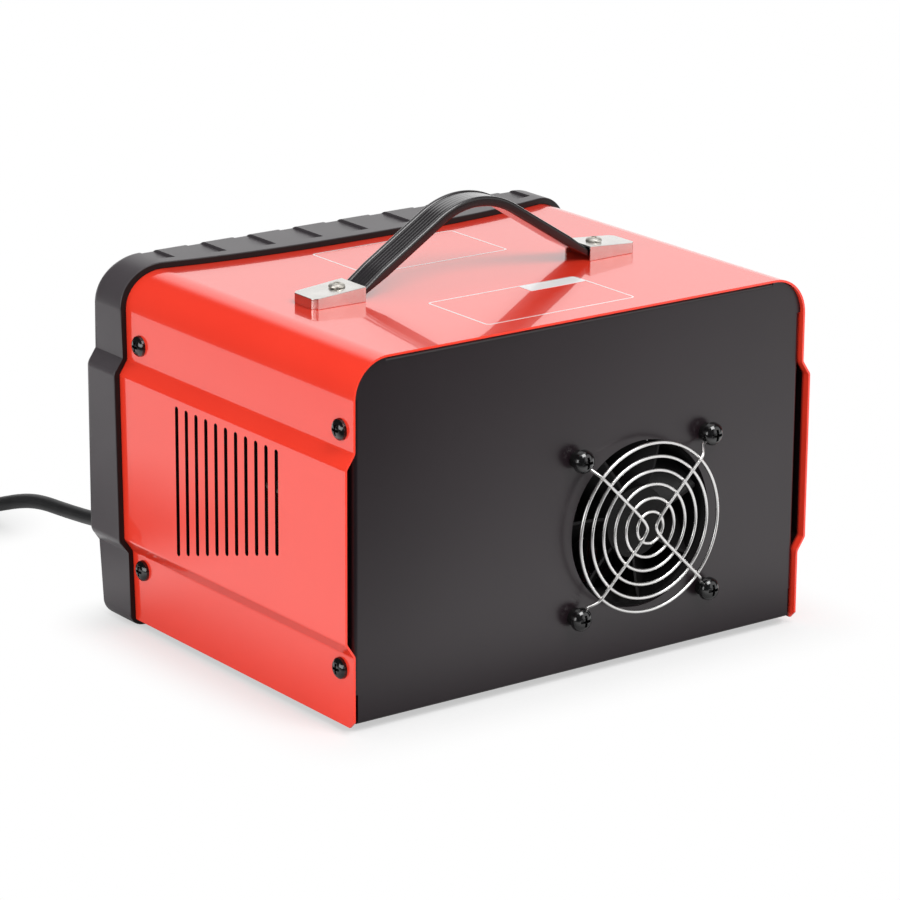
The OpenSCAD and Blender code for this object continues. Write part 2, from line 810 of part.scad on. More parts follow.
module rear_foot(s) {
    color(black_rubber)
        translate([s * foot_x, foot_y, 0])
            difference() {
                rotate_extrude()
                    polygon([
                        [0, 0], [foot_d / 2 - 1.5, 0], [foot_d / 2 - 0.6, 0.6],
                        [foot_d / 2, tray_z - 0.6], [foot_d / 2, tray_z], [0, tray_z]
                    ]);
                translate([0, 0, -cut]) cylinder(d = 8, h = tray_z / 2 + cut);
                translate([0, 0, -cut]) cylinder(d = foot_screw_d + 2 * fit, h = tray_z + 2 * cut);
            }
}

module rear_foot_left() {
    rear_foot(-1);
}

module rear_foot_right() {
    rear_foot(1);
}

module foot_screws() {
    color(bright_metal)
        for (s = [-1, 1])
            translate([s * foot_x, foot_y, tray_z / 2])
                mirror([0, 0, 1])
                    pan_screw(7, foot_head_h, foot_screw_d, tray_z / 2 + steel_t + 2);
}

// Fan guard

fan_screw_reach = 12;
spoke_z = guard_stand + wire_d - weld;
eye_r = (fan_shank_d + wire_d) / 2 + slip;
eye_z = spacer_h + wire_d / 2;

module spoke(s) {
    far = fan_pitch / 2;
    out = [s, 1] / sqrt(2);
    last_ring = ring_first + (ring_count - 1) * ring_pitch;
    kink = out * (last_ring + 2.4);
    landing = out * (far * sqrt(2) - (fan_head_d + wire_d) / 2);
    eye_start = out * (far * sqrt(2) - eye_r);
    split = s * spoke_split;
    half = [
        [eye_start[0], eye_start[1], eye_z],
        [landing[0], landing[1], eye_z],
        [kink[0], kink[1], spoke_z],
        [split + s * 2.1, 3.9, spoke_z],
        [split + s * 0.6, 1.7, spoke_z],
        [split, 0, spoke_z]
    ];
    other = [for (i = [len(half) - 2:-1:0]) [half[i][0], -half[i][1], half[i][2]]];
    wire(concat(half, other), wire_d);
}

module wire_ring(r, steps) {
    rotate_extrude($fn = steps) translate([r, 0]) circle(d = wire_d, $fn = 6);
}

module fan_guard() {
    color(bright_metal)
        on_back(fan_x, fan_z) {
            for (i = [0:ring_count - 1])
                translate([0, 0, guard_stand]) wire_ring(ring_first + i * ring_pitch, 24 + 4 * i);
            for (s = [-1, 1]) spoke(s);
            fan_corners() translate([0, 0, eye_z]) wire_ring(eye_r, 16);
        }
}

module guard_spacers() {
    color(black_plastic)
        on_back(fan_x, fan_z)
            fan_corners()
                difference() {
                    cylinder(d = spacer_d, h = spacer_h, $fn = 36);
                    translate([0, 0, -cut])
                        cylinder(d = fan_shank_d + 2 * fit, h = spacer_h + 2 * cut, $fn = small_fn);
                }
}

module fan_screws() {
    base = spacer_h + wire_d;
    color(black_plastic)
        on_back(fan_x, fan_z)
            fan_corners()
                translate([0, 0, base])
                    pan_screw(fan_head_d, fan_head_h, fan_shank_d, base + steel_t + fan_screw_reach);
}

// Fan

fan_plate_t = 4;
fan_size = fan_pitch + 2 * fan_edge;
flare = 1.2;
flare_l = 3;
fan_corner_r = 4;
strut_t = 3;
motor_r = hub_r - 1;
bearing_r = 4;
shaft_r = 1.5;
hub_set = 1.6;
hub_depth = fan_depth - strut_t - hub_set - 1;
blade_r = duct_r - tip_gap;
fan_turn = 12;

module fan_plate() {
    linear_extrude(fan_plate_t)
        polygon(rounded_closed(
            [for (p = [[1, -1], [1, 1], [-1, 1], [-1, -1]]) p * fan_size / 2],
            [for (i = [0:3]) fan_corner_r],
            [for (i = [0:3]) 5]
        ));
}

module fan_frame() {
    color(black_plastic)
        on_back(fan_x, fan_z)
            translate([0, 0, -steel_t - fan_depth]) {
                difference() {
                    union() {
                        fan_plate();
                        translate([0, 0, fan_depth - fan_plate_t]) fan_plate();
                        cylinder(r = duct_r + 1.4, h = fan_depth);
                        fan_corners()
                            cylinder(d = 2 * fan_edge - 0.5, h = fan_depth, $fn = small_fn);
                    }
                    translate([0, 0, -cut]) cylinder(r = duct_r, h = fan_depth + 2 * cut);
                    translate([0, 0, fan_depth - flare_l])
                        cylinder(r1 = duct_r, r2 = duct_r + flare + flare / flare_l * cut, h = flare_l + cut);
                    fan_corners()
                        translate([0, 0, -cut])
                            cylinder(d = fan_shank_d + 2 * fit, h = fan_depth + 2 * cut);
                }
                difference() {
                    union() {
                        cylinder(r = motor_r, h = strut_t);
                        for (a = [20:90:290])
                            rotate([0, 0, a])
                                translate([motor_r - 1, -strut_t / 2, 0])
                                    cube([duct_r - motor_r + 1.6, strut_t, strut_t]);
                        cylinder(r = bearing_r, h = fan_depth - hub_set - 5);
                    }
                    translate([0, 0, strut_t])
                        cylinder(r = shaft_r + fit, h = fan_depth, $fn = small_fn);
                }
            }
}

// One blade: a curved, twisted vane from the hub to its tip
blade_rs = [for (k = [0:4]) hub_r - 0.6 + k / 4 * (blade_r - hub_r + 0.6)];
function blade_spread(r) = 44 - 14 * (r - hub_r) / (blade_r - hub_r);
function blade_point(r, k, side) =
    let (a = blade_spread(r) * pow(k, 1.15) + 10 * (r - hub_r) / blade_r + side * blade_t / r * 28.6)
    [r * cos(a), r * sin(a), hub_depth * (0.94 - 0.88 * k)];

module blade() {
    steps = 4;
    per_ring = 2 * (steps + 1);
    points = [
        for (r = blade_rs)
            each concat(
                [for (i = [0:steps]) blade_point(r, i / steps, 1)],
                [for (i = [steps:-1:0]) blade_point(r, i / steps, -1)]
            )
    ];
    last = len(blade_rs) - 1;
    sides = [
        for (i = [0:last - 1], j = [0:per_ring - 1])
            let (
                a = i * per_ring + j,
                b = i * per_ring + (j + 1) % per_ring,
                c = b + per_ring,
                d = a + per_ring
            )
            each [[a, b, c], [a, c, d]]
    ];
    ends = [
        for (i = [0, last], j = [0:steps - 1])
            let (
                a = i * per_ring + j,
                b = a + 1,
                c = i * per_ring + per_ring - 2 - j,
                d = c + 1
            )
            each i == 0 ? [[a, c, b], [a, d, c]] : [[a, b, c], [a, c, d]]
    ];
    polyhedron(points, concat(sides, ends));
}

module fan_impeller() {
    color(black_plastic)
        on_back(fan_x, fan_z)
            translate([0, 0, -steel_t - hub_set - hub_depth])
                rotate([0, 0, fan_turn]) {
                    difference() {
                        cylinder(r = hub_r, h = hub_depth);
                        translate([0, 0, -cut]) cylinder(r = hub_r - 1.6, h = hub_depth - 1);
                    }
                    cylinder(r = shaft_r, h = hub_depth - 1, $fn = small_fn);
                    for (i = [0:blade_count - 1]) rotate([0, 0, i * 360 / blade_count]) blade();
                }
}

// Handle

strap_low = 0.3;
strap_thin = 0.62;
cap_bevel = 2;
strap_end = cap_mouth + cap_l - cap_t - cap_bevel - slip;
strap_knee = cap_mouth + 3;
strap_seat = cover_top + strap_low + strap_t * strap_thin / 2;

// Middle line of the strap in X and Z, from the right end to the left end
strap_line = rounded_open(
    [
        [strap_end, strap_seat], [strap_knee, strap_seat],
        [0, strap_seat + strap_knee * tan(strap_slope)],
        [-strap_knee, strap_seat], [-strap_end, strap_seat]
    ],
    [0, 10, strap_r, 10, 0],
    [0, 4, 14, 4, 0]
);

// The strap's stations: the line's own points and one more on each flank
function between(a, b, k) = a + (b - a) * k;
strap_flank = 5;
strap_stations = [
    for (i = [0:len(strap_line) - 1])
        each i == strap_flank || i == len(strap_line) - strap_flank - 2
            ? [strap_line[i], between(strap_line[i], strap_line[i + 1], 0.3),
               between(strap_line[i], strap_line[i + 1], 0.65)]
            : [strap_line[i]]
];

// Section of the strap: flat below, with a bead along each edge and ridges between the beads
strap_section = let (w = strap_w / 2, t = strap_t / 2) concat(
    [[-w + 0.8, -t], [w - 0.8, -t], [w, -t + 1], [w, t - 1], [w - 0.7, t], [w - 1.9, t]],
    [for (i = [0:10]) [(w - 2.6) * (1 - i / 5), i % 2 == 0 ? t - 0.9 : t - 0.35]],
    [[-w + 1.9, t], [-w + 0.7, t], [-w, t - 1], [-w, -t + 1]]
);

function strap_scale(x) =
    let (k = min(1, max(0, (cap_mouth - 1 - abs(x)) / 10))) strap_thin + (1 - strap_thin) * k;

// Share of the strap's width that fits in a cap at a distance x from the handle's middle
function strap_squeeze(x) =
    let (k = max(0, abs(x) - cap_mouth) / (cap_l - cap_bevel))
    min(1, (between(cap_w, cap_end_w, k) / 2 - cap_t - slip) / (strap_w / 2));

function strap_ring(i) =
    let (
        last = len(strap_stations) - 1,
        p = strap_stations[i],
        way = unit(strap_stations[min(i + 1, last)] - strap_stations[max(i - 1, 0)]),
        up = -left_of(way) * strap_scale(p[0]),
        squeeze = strap_squeeze(p[0])
    )
    [
        for (q = strap_section)
            [handle_x + p[0] + up[0] * q[1], handle_y + q[0] * squeeze, p[1] + up[1] * q[1]]
    ];

// Triangles of a tube of rings with both its ends closed
function tube_faces(rings, points) = concat(
    [
        for (i = [0:rings - 2], j = [0:points - 1])
            let (
                a = i * points + j,
                b = i * points + (j + 1) % points,
                c = b + points,
                d = a + points
            )
            each [[a, b, c], [a, c, d]]
    ],
    [[for (j = [points - 1:-1:0]) j]],
    [[for (j = [0:points - 1]) (rings - 1) * points + j]]
);

module handle_strap() {
    rings = [for (i = [0:len(strap_stations) - 1]) strap_ring(i)];
    color(black_rubber)
        difference() {
            polyhedron([for (r = rings) each r], tube_faces(len(rings), len(strap_section)));
            for (s = [-1, 1])
                translate([handle_x + s * handle_screw, handle_y, cover_top - cut])
                    cylinder(d = handle_shank_d + 2 * slip, h = cap_h + 2 * cut);
        }
}

// Plan of a cap, from its mouth at x = 0 to its outer end
module cap_plan(inset, open) {
    end = cap_l - inset;
    polygon([
        [-open, cap_w / 2 - inset], [0, cap_w / 2 - inset],
        [end - cap_bevel, cap_end_w / 2 - inset], [end, cap_end_w / 2 - inset - cap_bevel],
        [end, inset + cap_bevel - cap_end_w / 2], [end - cap_bevel, inset - cap_end_w / 2],
        [0, inset - cap_w / 2], [-open, inset - cap_w / 2]
    ]);
}

module cap_body(inset, open, low) {
    fall = (cap_h - cap_end_h) / cap_l;
    intersection() {
        translate([0, 0, low]) linear_extrude(cap_h + cut) cap_plan(inset, open);
        rotate([90, 0, 0])
            translate([0, 0, -cap_w])
                linear_extrude(2 * cap_w)
                    polygon([
                        [-open - cut, low], [cap_l + cut, low],
                        [cap_l + cut, cap_end_h - fall * cut - inset],
                        [-open - cut, cap_h + fall * (open + cut) - inset]
                    ]);
    }
}

module handle_cap(s) {
    color(bright_metal)
        translate([handle_x + s * cap_mouth, handle_y, cover_top])
            mirror([s < 0 ? 1 : 0, 0, 0])
                difference() {
                    cap_body(0, 0, 0);
                    cap_body(cap_t, cut, -cut);
                    translate([handle_screw - cap_mouth, 0, 0])
                        cylinder(d = handle_shank_d + 2 * slip, h = cap_h + cut);
                }
}

module handle_cap_left() {
    handle_cap(-1);
}

module handle_cap_right() {
    handle_cap(1);
}

handle_nut_h = 3;
handle_seat = cap_h - (cap_h - cap_end_h) * (handle_screw - cap_mouth - handle_head_d / 2) / cap_l;

module handle_screws() {
    color(bright_metal)
        for (s = [-1, 1])
            translate([handle_x + s * handle_screw, handle_y, cover_top + handle_seat])
                pan_screw(
                    handle_head_d, 1.8, handle_shank_d, handle_seat + cover_t + handle_nut_h + 1
                );
}

module handle_nuts() {
    color(bright_metal)
        for (s = [-1, 1])
            translate([handle_x + s * handle_screw, handle_y, cover_top - cover_t - handle_nut_h])
                hex_nut(7, handle_shank_d + 2 * fit, handle_nut_h);
}

// Ammeter

meter_can_d = 48;
meter_can_l = 28;
meter_depth = 12;
meter_wall = 2;
meter_floor = 3;
dial_t = 0.8;
pivot_up = -16;
needle_l = 32;
pin_r = 0.8;
needle_z = meter_floor + dial_t + 2;

module ammeter_body() {
    color(black_plastic)
        on_front(0, upper_row)
            union() {
                difference() {
                    translate([-meter_w / 2, -meter_h / 2, 0]) cube([meter_w, meter_h, meter_depth]);
                    translate([meter_wall - meter_w / 2, meter_wall - meter_h / 2, meter_floor])
                        cube([meter_w - 2 * meter_wall, meter_h - 2 * meter_wall, meter_depth]);
                }
                translate([0, 0, -meter_can_l]) cylinder(d = meter_can_d, h = meter_can_l);
                translate([0, pivot_up, 0]) cylinder(r = pin_r, h = needle_z + 2, $fn = small_fn);
            }
}

module ammeter_dial() {
    w = meter_w - 2 * meter_wall - 2 * slip;
    h = meter_h - 2 * meter_wall - 2 * slip;
    color("white")
        on_front(0, upper_row)
            translate([0, 0, meter_floor])
                difference() {
                    translate([-w / 2, -h / 2, 0]) cube([w, h, dial_t]);
                    translate([0, pivot_up, -cut])
                        cylinder(r = pin_r + slip, h = dial_t + 2 * cut, $fn = small_fn);
                }
}

module ammeter_needle() {
    color("black")
        on_front(0, upper_row)
            translate([0, pivot_up, needle_z])
                rotate([0, 0, 45])
                    difference() {
                        union() {
                            cylinder(r = 2.4, h = 1.4, $fn = small_fn);
                            linear_extrude(0.6)
                                polygon([[-0.9, -5], [0.9, -5], [0.25, needle_l], [-0.25, needle_l]]);
                        }
                        translate([0, 0, -cut]) cylinder(r = pin_r + fit, h = 3 * cut, $fn = small_fn);
                    }
}

module ammeter_lens() {
    lip = meter_wall + slip;
    color(clear_plastic)
        on_front(0, upper_row)
            translate([0, 0, meter_depth])
                difference() {
                    union() {
                        translate([-meter_w / 2, -meter_h / 2, 0]) cube([meter_w, meter_h, 2]);
                        translate([lip - meter_w / 2, lip - meter_h / 2, -1.5])
                            cube([meter_w - 2 * lip, meter_h - 2 * lip, 2]);
                    }
                    translate([lip + 1.2 - meter_w / 2, lip + 1.2 - meter_h / 2, -2.5])
                        cube([meter_w - 2 * lip - 2.4, meter_h - 2 * lip - 2.4, 2.5]);
                }
}

// Rockers

rocker_face_w = 25;
rocker_face_h = 34;
rocker_can_w = 22;
rocker_can_h = 31;
rocker_open_w = 19.4;
rocker_open_h = 27.6;
rocker_depth = 20;
rocker_flange = 2;
rocker_r = 13.3;
rocker_pin_r = 1.2;
rocker_set = 1;
rocker_tilt = 12;

module rocker_frame() {
    difference() {
        union() {
            translate([-rocker_face_w / 2, -rocker_face_h / 2, 0])
                cube([rocker_face_w, rocker_face_h, rocker_flange]);
            translate([-rocker_can_w / 2, -rocker_can_h / 2, -rocker_depth])
                cube([rocker_can_w, rocker_can_h, rocker_depth]);
        }
        translate([-rocker_open_w / 2, -rocker_open_h / 2, -rocker_depth + 2])
            cube([rocker_open_w, rocker_open_h, rocker_depth + rocker_flange]);
        translate([-rocker_can_w / 2 + 0.3, 0, -rocker_set])
            rotate([0, 90, 0])
                cylinder(r = rocker_pin_r + fit, h = rocker_can_w - 0.6, $fn = small_fn);
    }
}

// A rocker on its pin, in its own frame; it is tilted by the given angle
module rocker(tilt) {
    half_w = rocker_open_w / 2 - 0.3;
    pin_l = rocker_can_w - 1.2;
    translate([0, 0, -rocker_set])
        rotate([tilt, 0, 0]) {
            rotate([90, 0, 90])
                translate([0, 0, -half_w])
                    linear_extrude(2 * half_w)
                        intersection() {
                            circle(r = rocker_r);
                            polygon([[-14, -5], [14, -5], [14, 5.4], [0, 2.6], [-14, 5.4]]);
                        }
            translate([-pin_l / 2, 0, 0])
                rotate([0, 90, 0]) cylinder(r = rocker_pin_r, h = pin_l, $fn = small_fn);
        }
}

module power_rocker_frame() {
    color(black_plastic) on_front(-rocker_x, upper_row) rocker_frame();
}

module power_rocker() {
    color(red) on_front(-rocker_x, upper_row) rocker(rocker_tilt);
}

module mode_rocker_frame() {
    color(black_plastic) on_front(rocker_x, upper_row) rocker_frame();
}

module mode_rocker() {
    color(black_plastic) on_front(rocker_x, upper_row) rocker(rocker_tilt);
}

// Current selector

selector_bush_d = 9.6;
selector_shaft_d = 6;
selector_nut_h = 2.5;
selector_can_d = 34;
selector_can_h = 20;
selector_neck = 6;
selector_bore = 9;

module selector_switch() {
    color(black_plastic)
        on_front(selector_x, middle_row)
            difference() {
                union() {
                    translate([0, 0, -steel_t - selector_can_h])
                        cylinder(d = selector_can_d, h = selector_can_h);
                    translate([0, 0, -steel_t - cut])
                        cylinder(d = selector_bush_d, h = steel_t + selector_neck);
                }
                translate([0, 0, -selector_bore])
                    cylinder(d = selector_shaft_d + 2 * fit, h = 2 * selector_bore + 2, $fn = small_fn);
            }
}

module selector_nut() {
    color(bright_metal)
        on_front(selector_x, middle_row) hex_nut(13, selector_bush_d + 2 * fit, selector_nut_h);
}

module selector_shaft() {
    color(bright_metal)
        on_front(selector_x, middle_row)
            translate([0, 0, -8.5])
                cylinder(d = selector_shaft_d, h = 8.5 + knob_h, $fn = small_fn);
}

module selector_knob() {
    base = 3;
    grip_r = 4;
    color(black_plastic)
        on_front(selector_x, middle_row)
            difference() {
                union() {
                    translate([0, 0, base])
                        rotate_extrude()
                            polygon([
                                [0, 0], [knob_d / 2, 0], [knob_d / 2, 2], [knob_d / 2 - 1.5, 3],
                                [knob_d / 2 - 2.4, knob_h - 1.2], [knob_d / 2 - 3.4, knob_h], [0, knob_h]
                            ]);
                    rotate([0, 0, 120])
                        translate([-1.2, 4, base + knob_h - 1]) cube([2.4, knob_d / 2 - 8, 1.8]);
                }
                for (i = [0:11])
                    rotate([0, 0, i * 30 + 15])
                        translate([knob_d / 2 + 1.4, 0, base + 3])
                            cylinder(r = grip_r, h = knob_h, $fn = small_fn);
                cylinder(d = 18, h = 7.5);
                cylinder(d = selector_shaft_d + 2 * fit, h = knob_h + 0.5, $fn = small_fn);
            }
}

// Thermal breaker

breaker_neck_d = 12;
breaker_depth = 28;
breaker_button_d = 7.8;
breaker_nut_h = 2.5;

module breaker_body() {
    color(black_plastic)
        on_front(breaker_x, middle_row)
            difference() {
                union() {
                    translate([-8, -15, -steel_t - breaker_depth]) cube([16, 30, breaker_depth]);
                    translate([0, 0, -steel_t - 1]) cylinder(d = breaker_neck_d, h = steel_t + 8);
                }
                translate([0, 0, -9])
                    cylinder(d = breaker_button_d + 2 * fit, h = 20, $fn = small_fn);
            }
}

module breaker_nut() {
    color(bright_metal)
        on_front(breaker_x, middle_row) hex_nut(16, breaker_neck_d + 2 * fit, breaker_nut_h);
}

module breaker_button() {
    color("white")
        on_front(breaker_x, middle_row)
            translate([0, 0, -9 + button_travel + 0.3])
                rotate_extrude($fn = small_fn)
                    polygon([
                        [0, 0], [breaker_button_d / 2, 0], [breaker_button_d / 2, 17],
                        [breaker_button_d / 2 - 1, 17.8], [0, 18]
                    ]);
}

// Outlets for the leads

grommet_neck_d = 14;

module output_grommet(i) {
    color(black_rubber)
        on_front(output_x + i * output_pitch, lower_row)
            rotate_extrude()
                polygon([
                    [output_bore / 2, -steel_t - 3], [8.4, -steel_t - 2.4], [8.8, -steel_t],
                    [grommet_neck_d / 2, -steel_t], [grommet_neck_d / 2, 0],
                    [10, 0], [10, 1.6], [8.6, 3], [output_bore / 2, 3.4]
                ]);
}

module output_grommet_outer() {
    output_grommet(0);
}

module output_grommet_inner() {
    output_grommet(1);
}

relief_neck_d = 12;
relief_ribs = 6;

module mains_relief() {
    rib_pitch = (relief_l - 7) / relief_ribs;
    color(black_rubber)
        on_front(mains_x, lower_row)
            difference() {
                rotate_extrude()
                    polygon([
                        [0, -steel_t - 4], [6.4, -steel_t - 3.4], [7.6, -steel_t],
                        [relief_neck_d / 2, -steel_t], [relief_neck_d / 2, 0],
                        [8.8, 0], [8.8, 2], [7, 3.2], [6.4, 3.4],
                        [lead_d / 2 + 0.9, relief_tip], [0, relief_tip]
                    ]);
                for (i = [0:relief_ribs - 1])
                    translate([0, 0, 5.5 + i * rib_pitch])
                        difference() {
                            cylinder(r = 12, h = rib_pitch / 2.4);
                            translate([0, 0, -cut])
                                cylinder(r = lead_d / 2 + 0.6, h = rib_pitch + cut);
                        }
            }
}

// Mains lead, its coil and its plug

relief_tip = front_y - lead_route[0][1];

// Rings of a tube along a route; each lies across the route's own direction
function tube_ring(route, i, d, sides) =
    let (
        last = len(route) - 1,
        way = unit(route[min(i + 1, last)] - route[max(i - 1, 0)]),
        right = unit(cross(way, [0, 0, 1])),
        up = cross(right, way)
    )
    [
        for (j = [0:sides - 1])
            let (a = 360 * (j + 0.5) / sides)
            route[i] + (right * cos(a) + up * sin(a)) * d / 2
    ];

module tube(route, d, sides) {
    rings = [for (i = [0:len(route) - 1]) tube_ring(route, i, d, sides)];
    polyhedron([for (r = rings) each r], tube_faces(len(rings), sides));
}

module mains_cord() {
    color(black_rubber) {
        tube(lead_route, lead_d, 10);
        tube(tail_route, lead_d, 10);
    }
}

module mains_coil() {
    color(black_rubber)
        translate(coil_centre)
            rotate_extrude()
                polygon([
                    [coil_inner, 1.5], [coil_inner + 1.5, 0], [coil_outer - 1.5, 0], [coil_outer, 1.5],
                    [coil_outer, coil_h - 2], [coil_outer - 2, coil_h], [coil_inner + 2, coil_h],
                    [coil_inner, coil_h - 2]
                ]);
}

module coil_tie() {
    w = 6;
    t = 1;
    gap = 0.25;
    color(black_plastic)
        translate(coil_centre)
            rotate([0, 0, -60])
                difference() {
                    block([coil_inner - t - gap, -w / 2, 0], [coil_outer + t + gap, w / 2, coil_h + t + gap]);
                    block([coil_inner - gap, -w, -cut], [coil_outer + gap, w, coil_h + gap]);
                }
}

module plug_places() {
    translate(plug_at) rotate([0, 0, plug_turn]) rotate([0, 90, 0]) children();
}

module mains_plug() {
    color(black_rubber)
        plug_places()
            rotate_extrude()
                polygon([
                    [0, 0], [4.6, 0], [6, 20], [6.4, 22], [7, 24], [7, 44], [6.2, 46], [0, 46]
                ]);
}

module plug_pins() {
    color(bright_metal)
        plug_places()
            for (s = [-1, 1])
                translate([0, s * 3, 46]) cylinder(d = 4, h = 19, $fn = small_fn);
}

// Transformer

leg_w = core_w / 3;
yoke_h = leg_w / 2;
window_w = (core_w - leg_w - 2 * yoke_h) / 2;
window_h = core_h - 2 * yoke_h;
core_foot = 3;
core_z = deck_z + core_foot;
core_y = front_y + core_set + core_w / 2;
bracket_t = 2;
bracket_foot = 9;
bobbin_t = 1.5;

module at_core() {
    translate([core_x, core_y, core_z]) children();
}

module transformer_core() {
    color([0.35, 0.35, 0.37])
        at_core()
            difference() {
                translate([-core_t / 2, -core_w / 2, 0]) cube([core_t, core_w, core_h]);
                for (s = [-1, 1])
                    translate([-core_t / 2 - cut, s * (leg_w + window_w) / 2 - window_w / 2, yoke_h])
                        cube([core_t + 2 * cut, window_w, window_h]);
            }
}

// A rectangular ring round the centre leg
module leg_ring(inner, outer, low, high) {
    translate([0, 0, low])
        difference() {
            translate([-core_t / 2 - outer, -leg_w / 2 - outer, 0])
                cube([core_t + 2 * outer, leg_w + 2 * outer, high - low]);
            translate([-core_t / 2 - inner, -leg_w / 2 - inner, -cut])
                cube([core_t + 2 * inner, leg_w + 2 * inner, high - low + 2 * cut]);
        }
}

module transformer_bobbin() {
    low = yoke_h + slip;
    high = yoke_h + window_h - slip;
    color("ivory")
        at_core() {
            leg_ring(slip, slip + bobbin_t, low, high);
            leg_ring(slip, window_w - slip, low, low + bobbin_t);
            leg_ring(slip, window_w - slip, high - bobbin_t, high);
        }
}

module transformer_winding() {
    inner = 2 * slip + bobbin_t;
    low = yoke_h + 2 * slip + bobbin_t;
    color(copper) at_core() leg_ring(inner, window_w - 1, low, yoke_h * 2 + window_h - low);
}

module bracket_places() {
    for (s = [-1, 1])
        translate([core_x, core_y + s * (core_w / 2 + bracket_t + bracket_foot / 2), 0]) children();
}

module transformer_bracket() {
    w = core_t * 0.6;
    hw = core_w / 2 + slip;
    top = core_h + slip;
    line = [
        [-hw - bracket_t - bracket_foot, -core_foot], [-hw, -core_foot], [-hw, top],
        [hw, top], [hw, -core_foot], [hw + bracket_t + bracket_foot, -core_foot]
    ];
    square_bends = [for (p = line) 0];
    color(bright_metal) {
        difference() {
            at_core()
                along_x(-w / 2, w)
                    polygon(sheet(line, square_bends, square_bends, bracket_t));
            bracket_places()
                translate([0, 0, deck_z - cut])
                    cylinder(d = bracket_screw_d + 2 * fit, h = bracket_t + 2 * cut);
        }
        at_core()
            for (s = [-1, 1])
                translate([-core_t / 2, s * (core_w / 2 - 6) - 6, -core_foot])
                    cube([core_t, 12, core_foot]);
    }
}

module transformer_screws() {
    color(bright_metal)
        bracket_places()
            translate([0, 0, deck_z + bracket_t])
                pan_screw(7, 2.6, bracket_screw_d, bracket_t + steel_t + 2);
}

// Rectifier

sink_w = 56;
sink_l = 70;
sink_base = 4;
sink_h = 30;
sink_up = 6;
fin_t = 1.6;
diode_d = 12.8;
sink_z = deck_z + sink_up;
sink_y = back_y - sink_back;

module sink_places() {
    for (sx = [-1, 1], sy = [-1, 1])
        translate([sink_x + sx * (sink_w / 2 - 5), sink_y + sy * (sink_l / 2 - 5), 0]) children();
}

module heat_sink() {
    fin_zone = sink_w * 0.5;
    color([0.75, 0.76, 0.78])
        difference() {
            along_y(sink_y + sink_l / 2, sink_l)
                translate([sink_x - sink_w / 2, sink_z]) {
                    square([sink_w, sink_base]);
                    for (i = [0:fin_count - 1])
                        translate([10 + i * (fin_zone - fin_t) / (fin_count - 1), 0])
                            square([fin_t, sink_h]);
                }
            sink_places()
                translate([0, 0, sink_z - cut])
                    cylinder(d = sink_screw_d, h = sink_base + 2 * cut, $fn = small_fn);
        }
}

module heat_sink_standoffs() {
    color("ivory")
        sink_places() {
            translate([0, 0, deck_z]) cylinder(d = 8, h = sink_up, $fn = small_fn);
            translate([0, 0, tray_z - 1])
                cylinder(d = sink_screw_d - 2 * fit, h = sink_up + sink_base + 4, $fn = small_fn);
        }
}

module rectifier_diodes() {
    color([0.6, 0.6, 0.62])
        for (i = [0:3])
            translate([sink_x + sink_w / 2 - 9.5, sink_y + (i - 1.5) * 13.4, sink_z + sink_base]) {
                cylinder(d = diode_d - 1, h = 5, $fn = small_fn);
                cylinder(d = 1.6, h = 12, $fn = small_fn);
            }
}

// Terminal block

block_w = 46;
block_l = 18;
block_h = 16;
block_pitch = 11;
pocket_w = 8;
pocket_up = 9;
block_x = sink_x + 2;
block_y = front_y + front_flange - block_l / 2;
block_z = deck_z + steel_t;

module terminal_block() {
    color(grey_plastic)
        translate([block_x, block_y, block_z])
            difference() {
                translate([-block_w / 2, -block_l / 2, 0]) cube([block_w, block_l, block_h]);
                for (i = [0:3])
                    translate([(i - 1.5) * block_pitch, 0, pocket_up]) {
                        translate([-pocket_w / 2, -block_l / 2 - cut, 0])
                            cube([pocket_w, block_l + 2 * cut, block_h]);
                        translate([0, 0, -6])
                            cylinder(d = 3 + 2 * fit, h = 7, $fn = small_fn);
                    }
            }
}

module terminal_screws() {
    color(bright_metal)
        translate([block_x, block_y, block_z + pocket_up])
            for (i = [0:3]) translate([(i - 1.5) * block_pitch, 0, 0]) pan_screw(5.6, 2.2, 3, 5);
}

top_cover();
chassis_tray();
front_panel();
front_frame();
side_screws();
frame_screws();
rear_foot_left();
rear_foot_right();
foot_screws();
fan_guard();
guard_spacers();
fan_screws();
fan_frame();
fan_impeller();
handle_strap();
handle_cap_left();
handle_cap_right();
handle_screws();
handle_nuts();
ammeter_body();
ammeter_dial();
ammeter_needle();
ammeter_lens();
power_rocker_frame();
power_rocker();
mode_rocker_frame();
mode_rocker();
selector_switch();
selector_nut();
selector_shaft();
selector_knob();
breaker_body();
breaker_nut();
breaker_button();
output_grommet_outer();
output_grommet_inner();
mains_relief();
mains_cord();
mains_coil();
coil_tie();
mains_plug();
plug_pins();
transformer_core();
transformer_bobbin();
transformer_winding();
transformer_bracket();
transformer_screws();
heat_sink();
heat_sink_standoffs();
rectifier_diodes();
terminal_block();
terminal_screws();
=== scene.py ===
"""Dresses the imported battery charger: studio, mains lead, smooth replacements and finishes.

Sizes are in millimetres unless a comment says otherwise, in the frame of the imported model: the
origin is on the floor under the middle of the housing, +Y runs from the front frame to the fan,
+Z is up.
"""

import logging
import math
from dataclasses import dataclass
from enum import Enum, auto
from typing import Iterable, Mapping, Sequence, Union

import bmesh
import bpy
from mathutils import Matrix, Vector


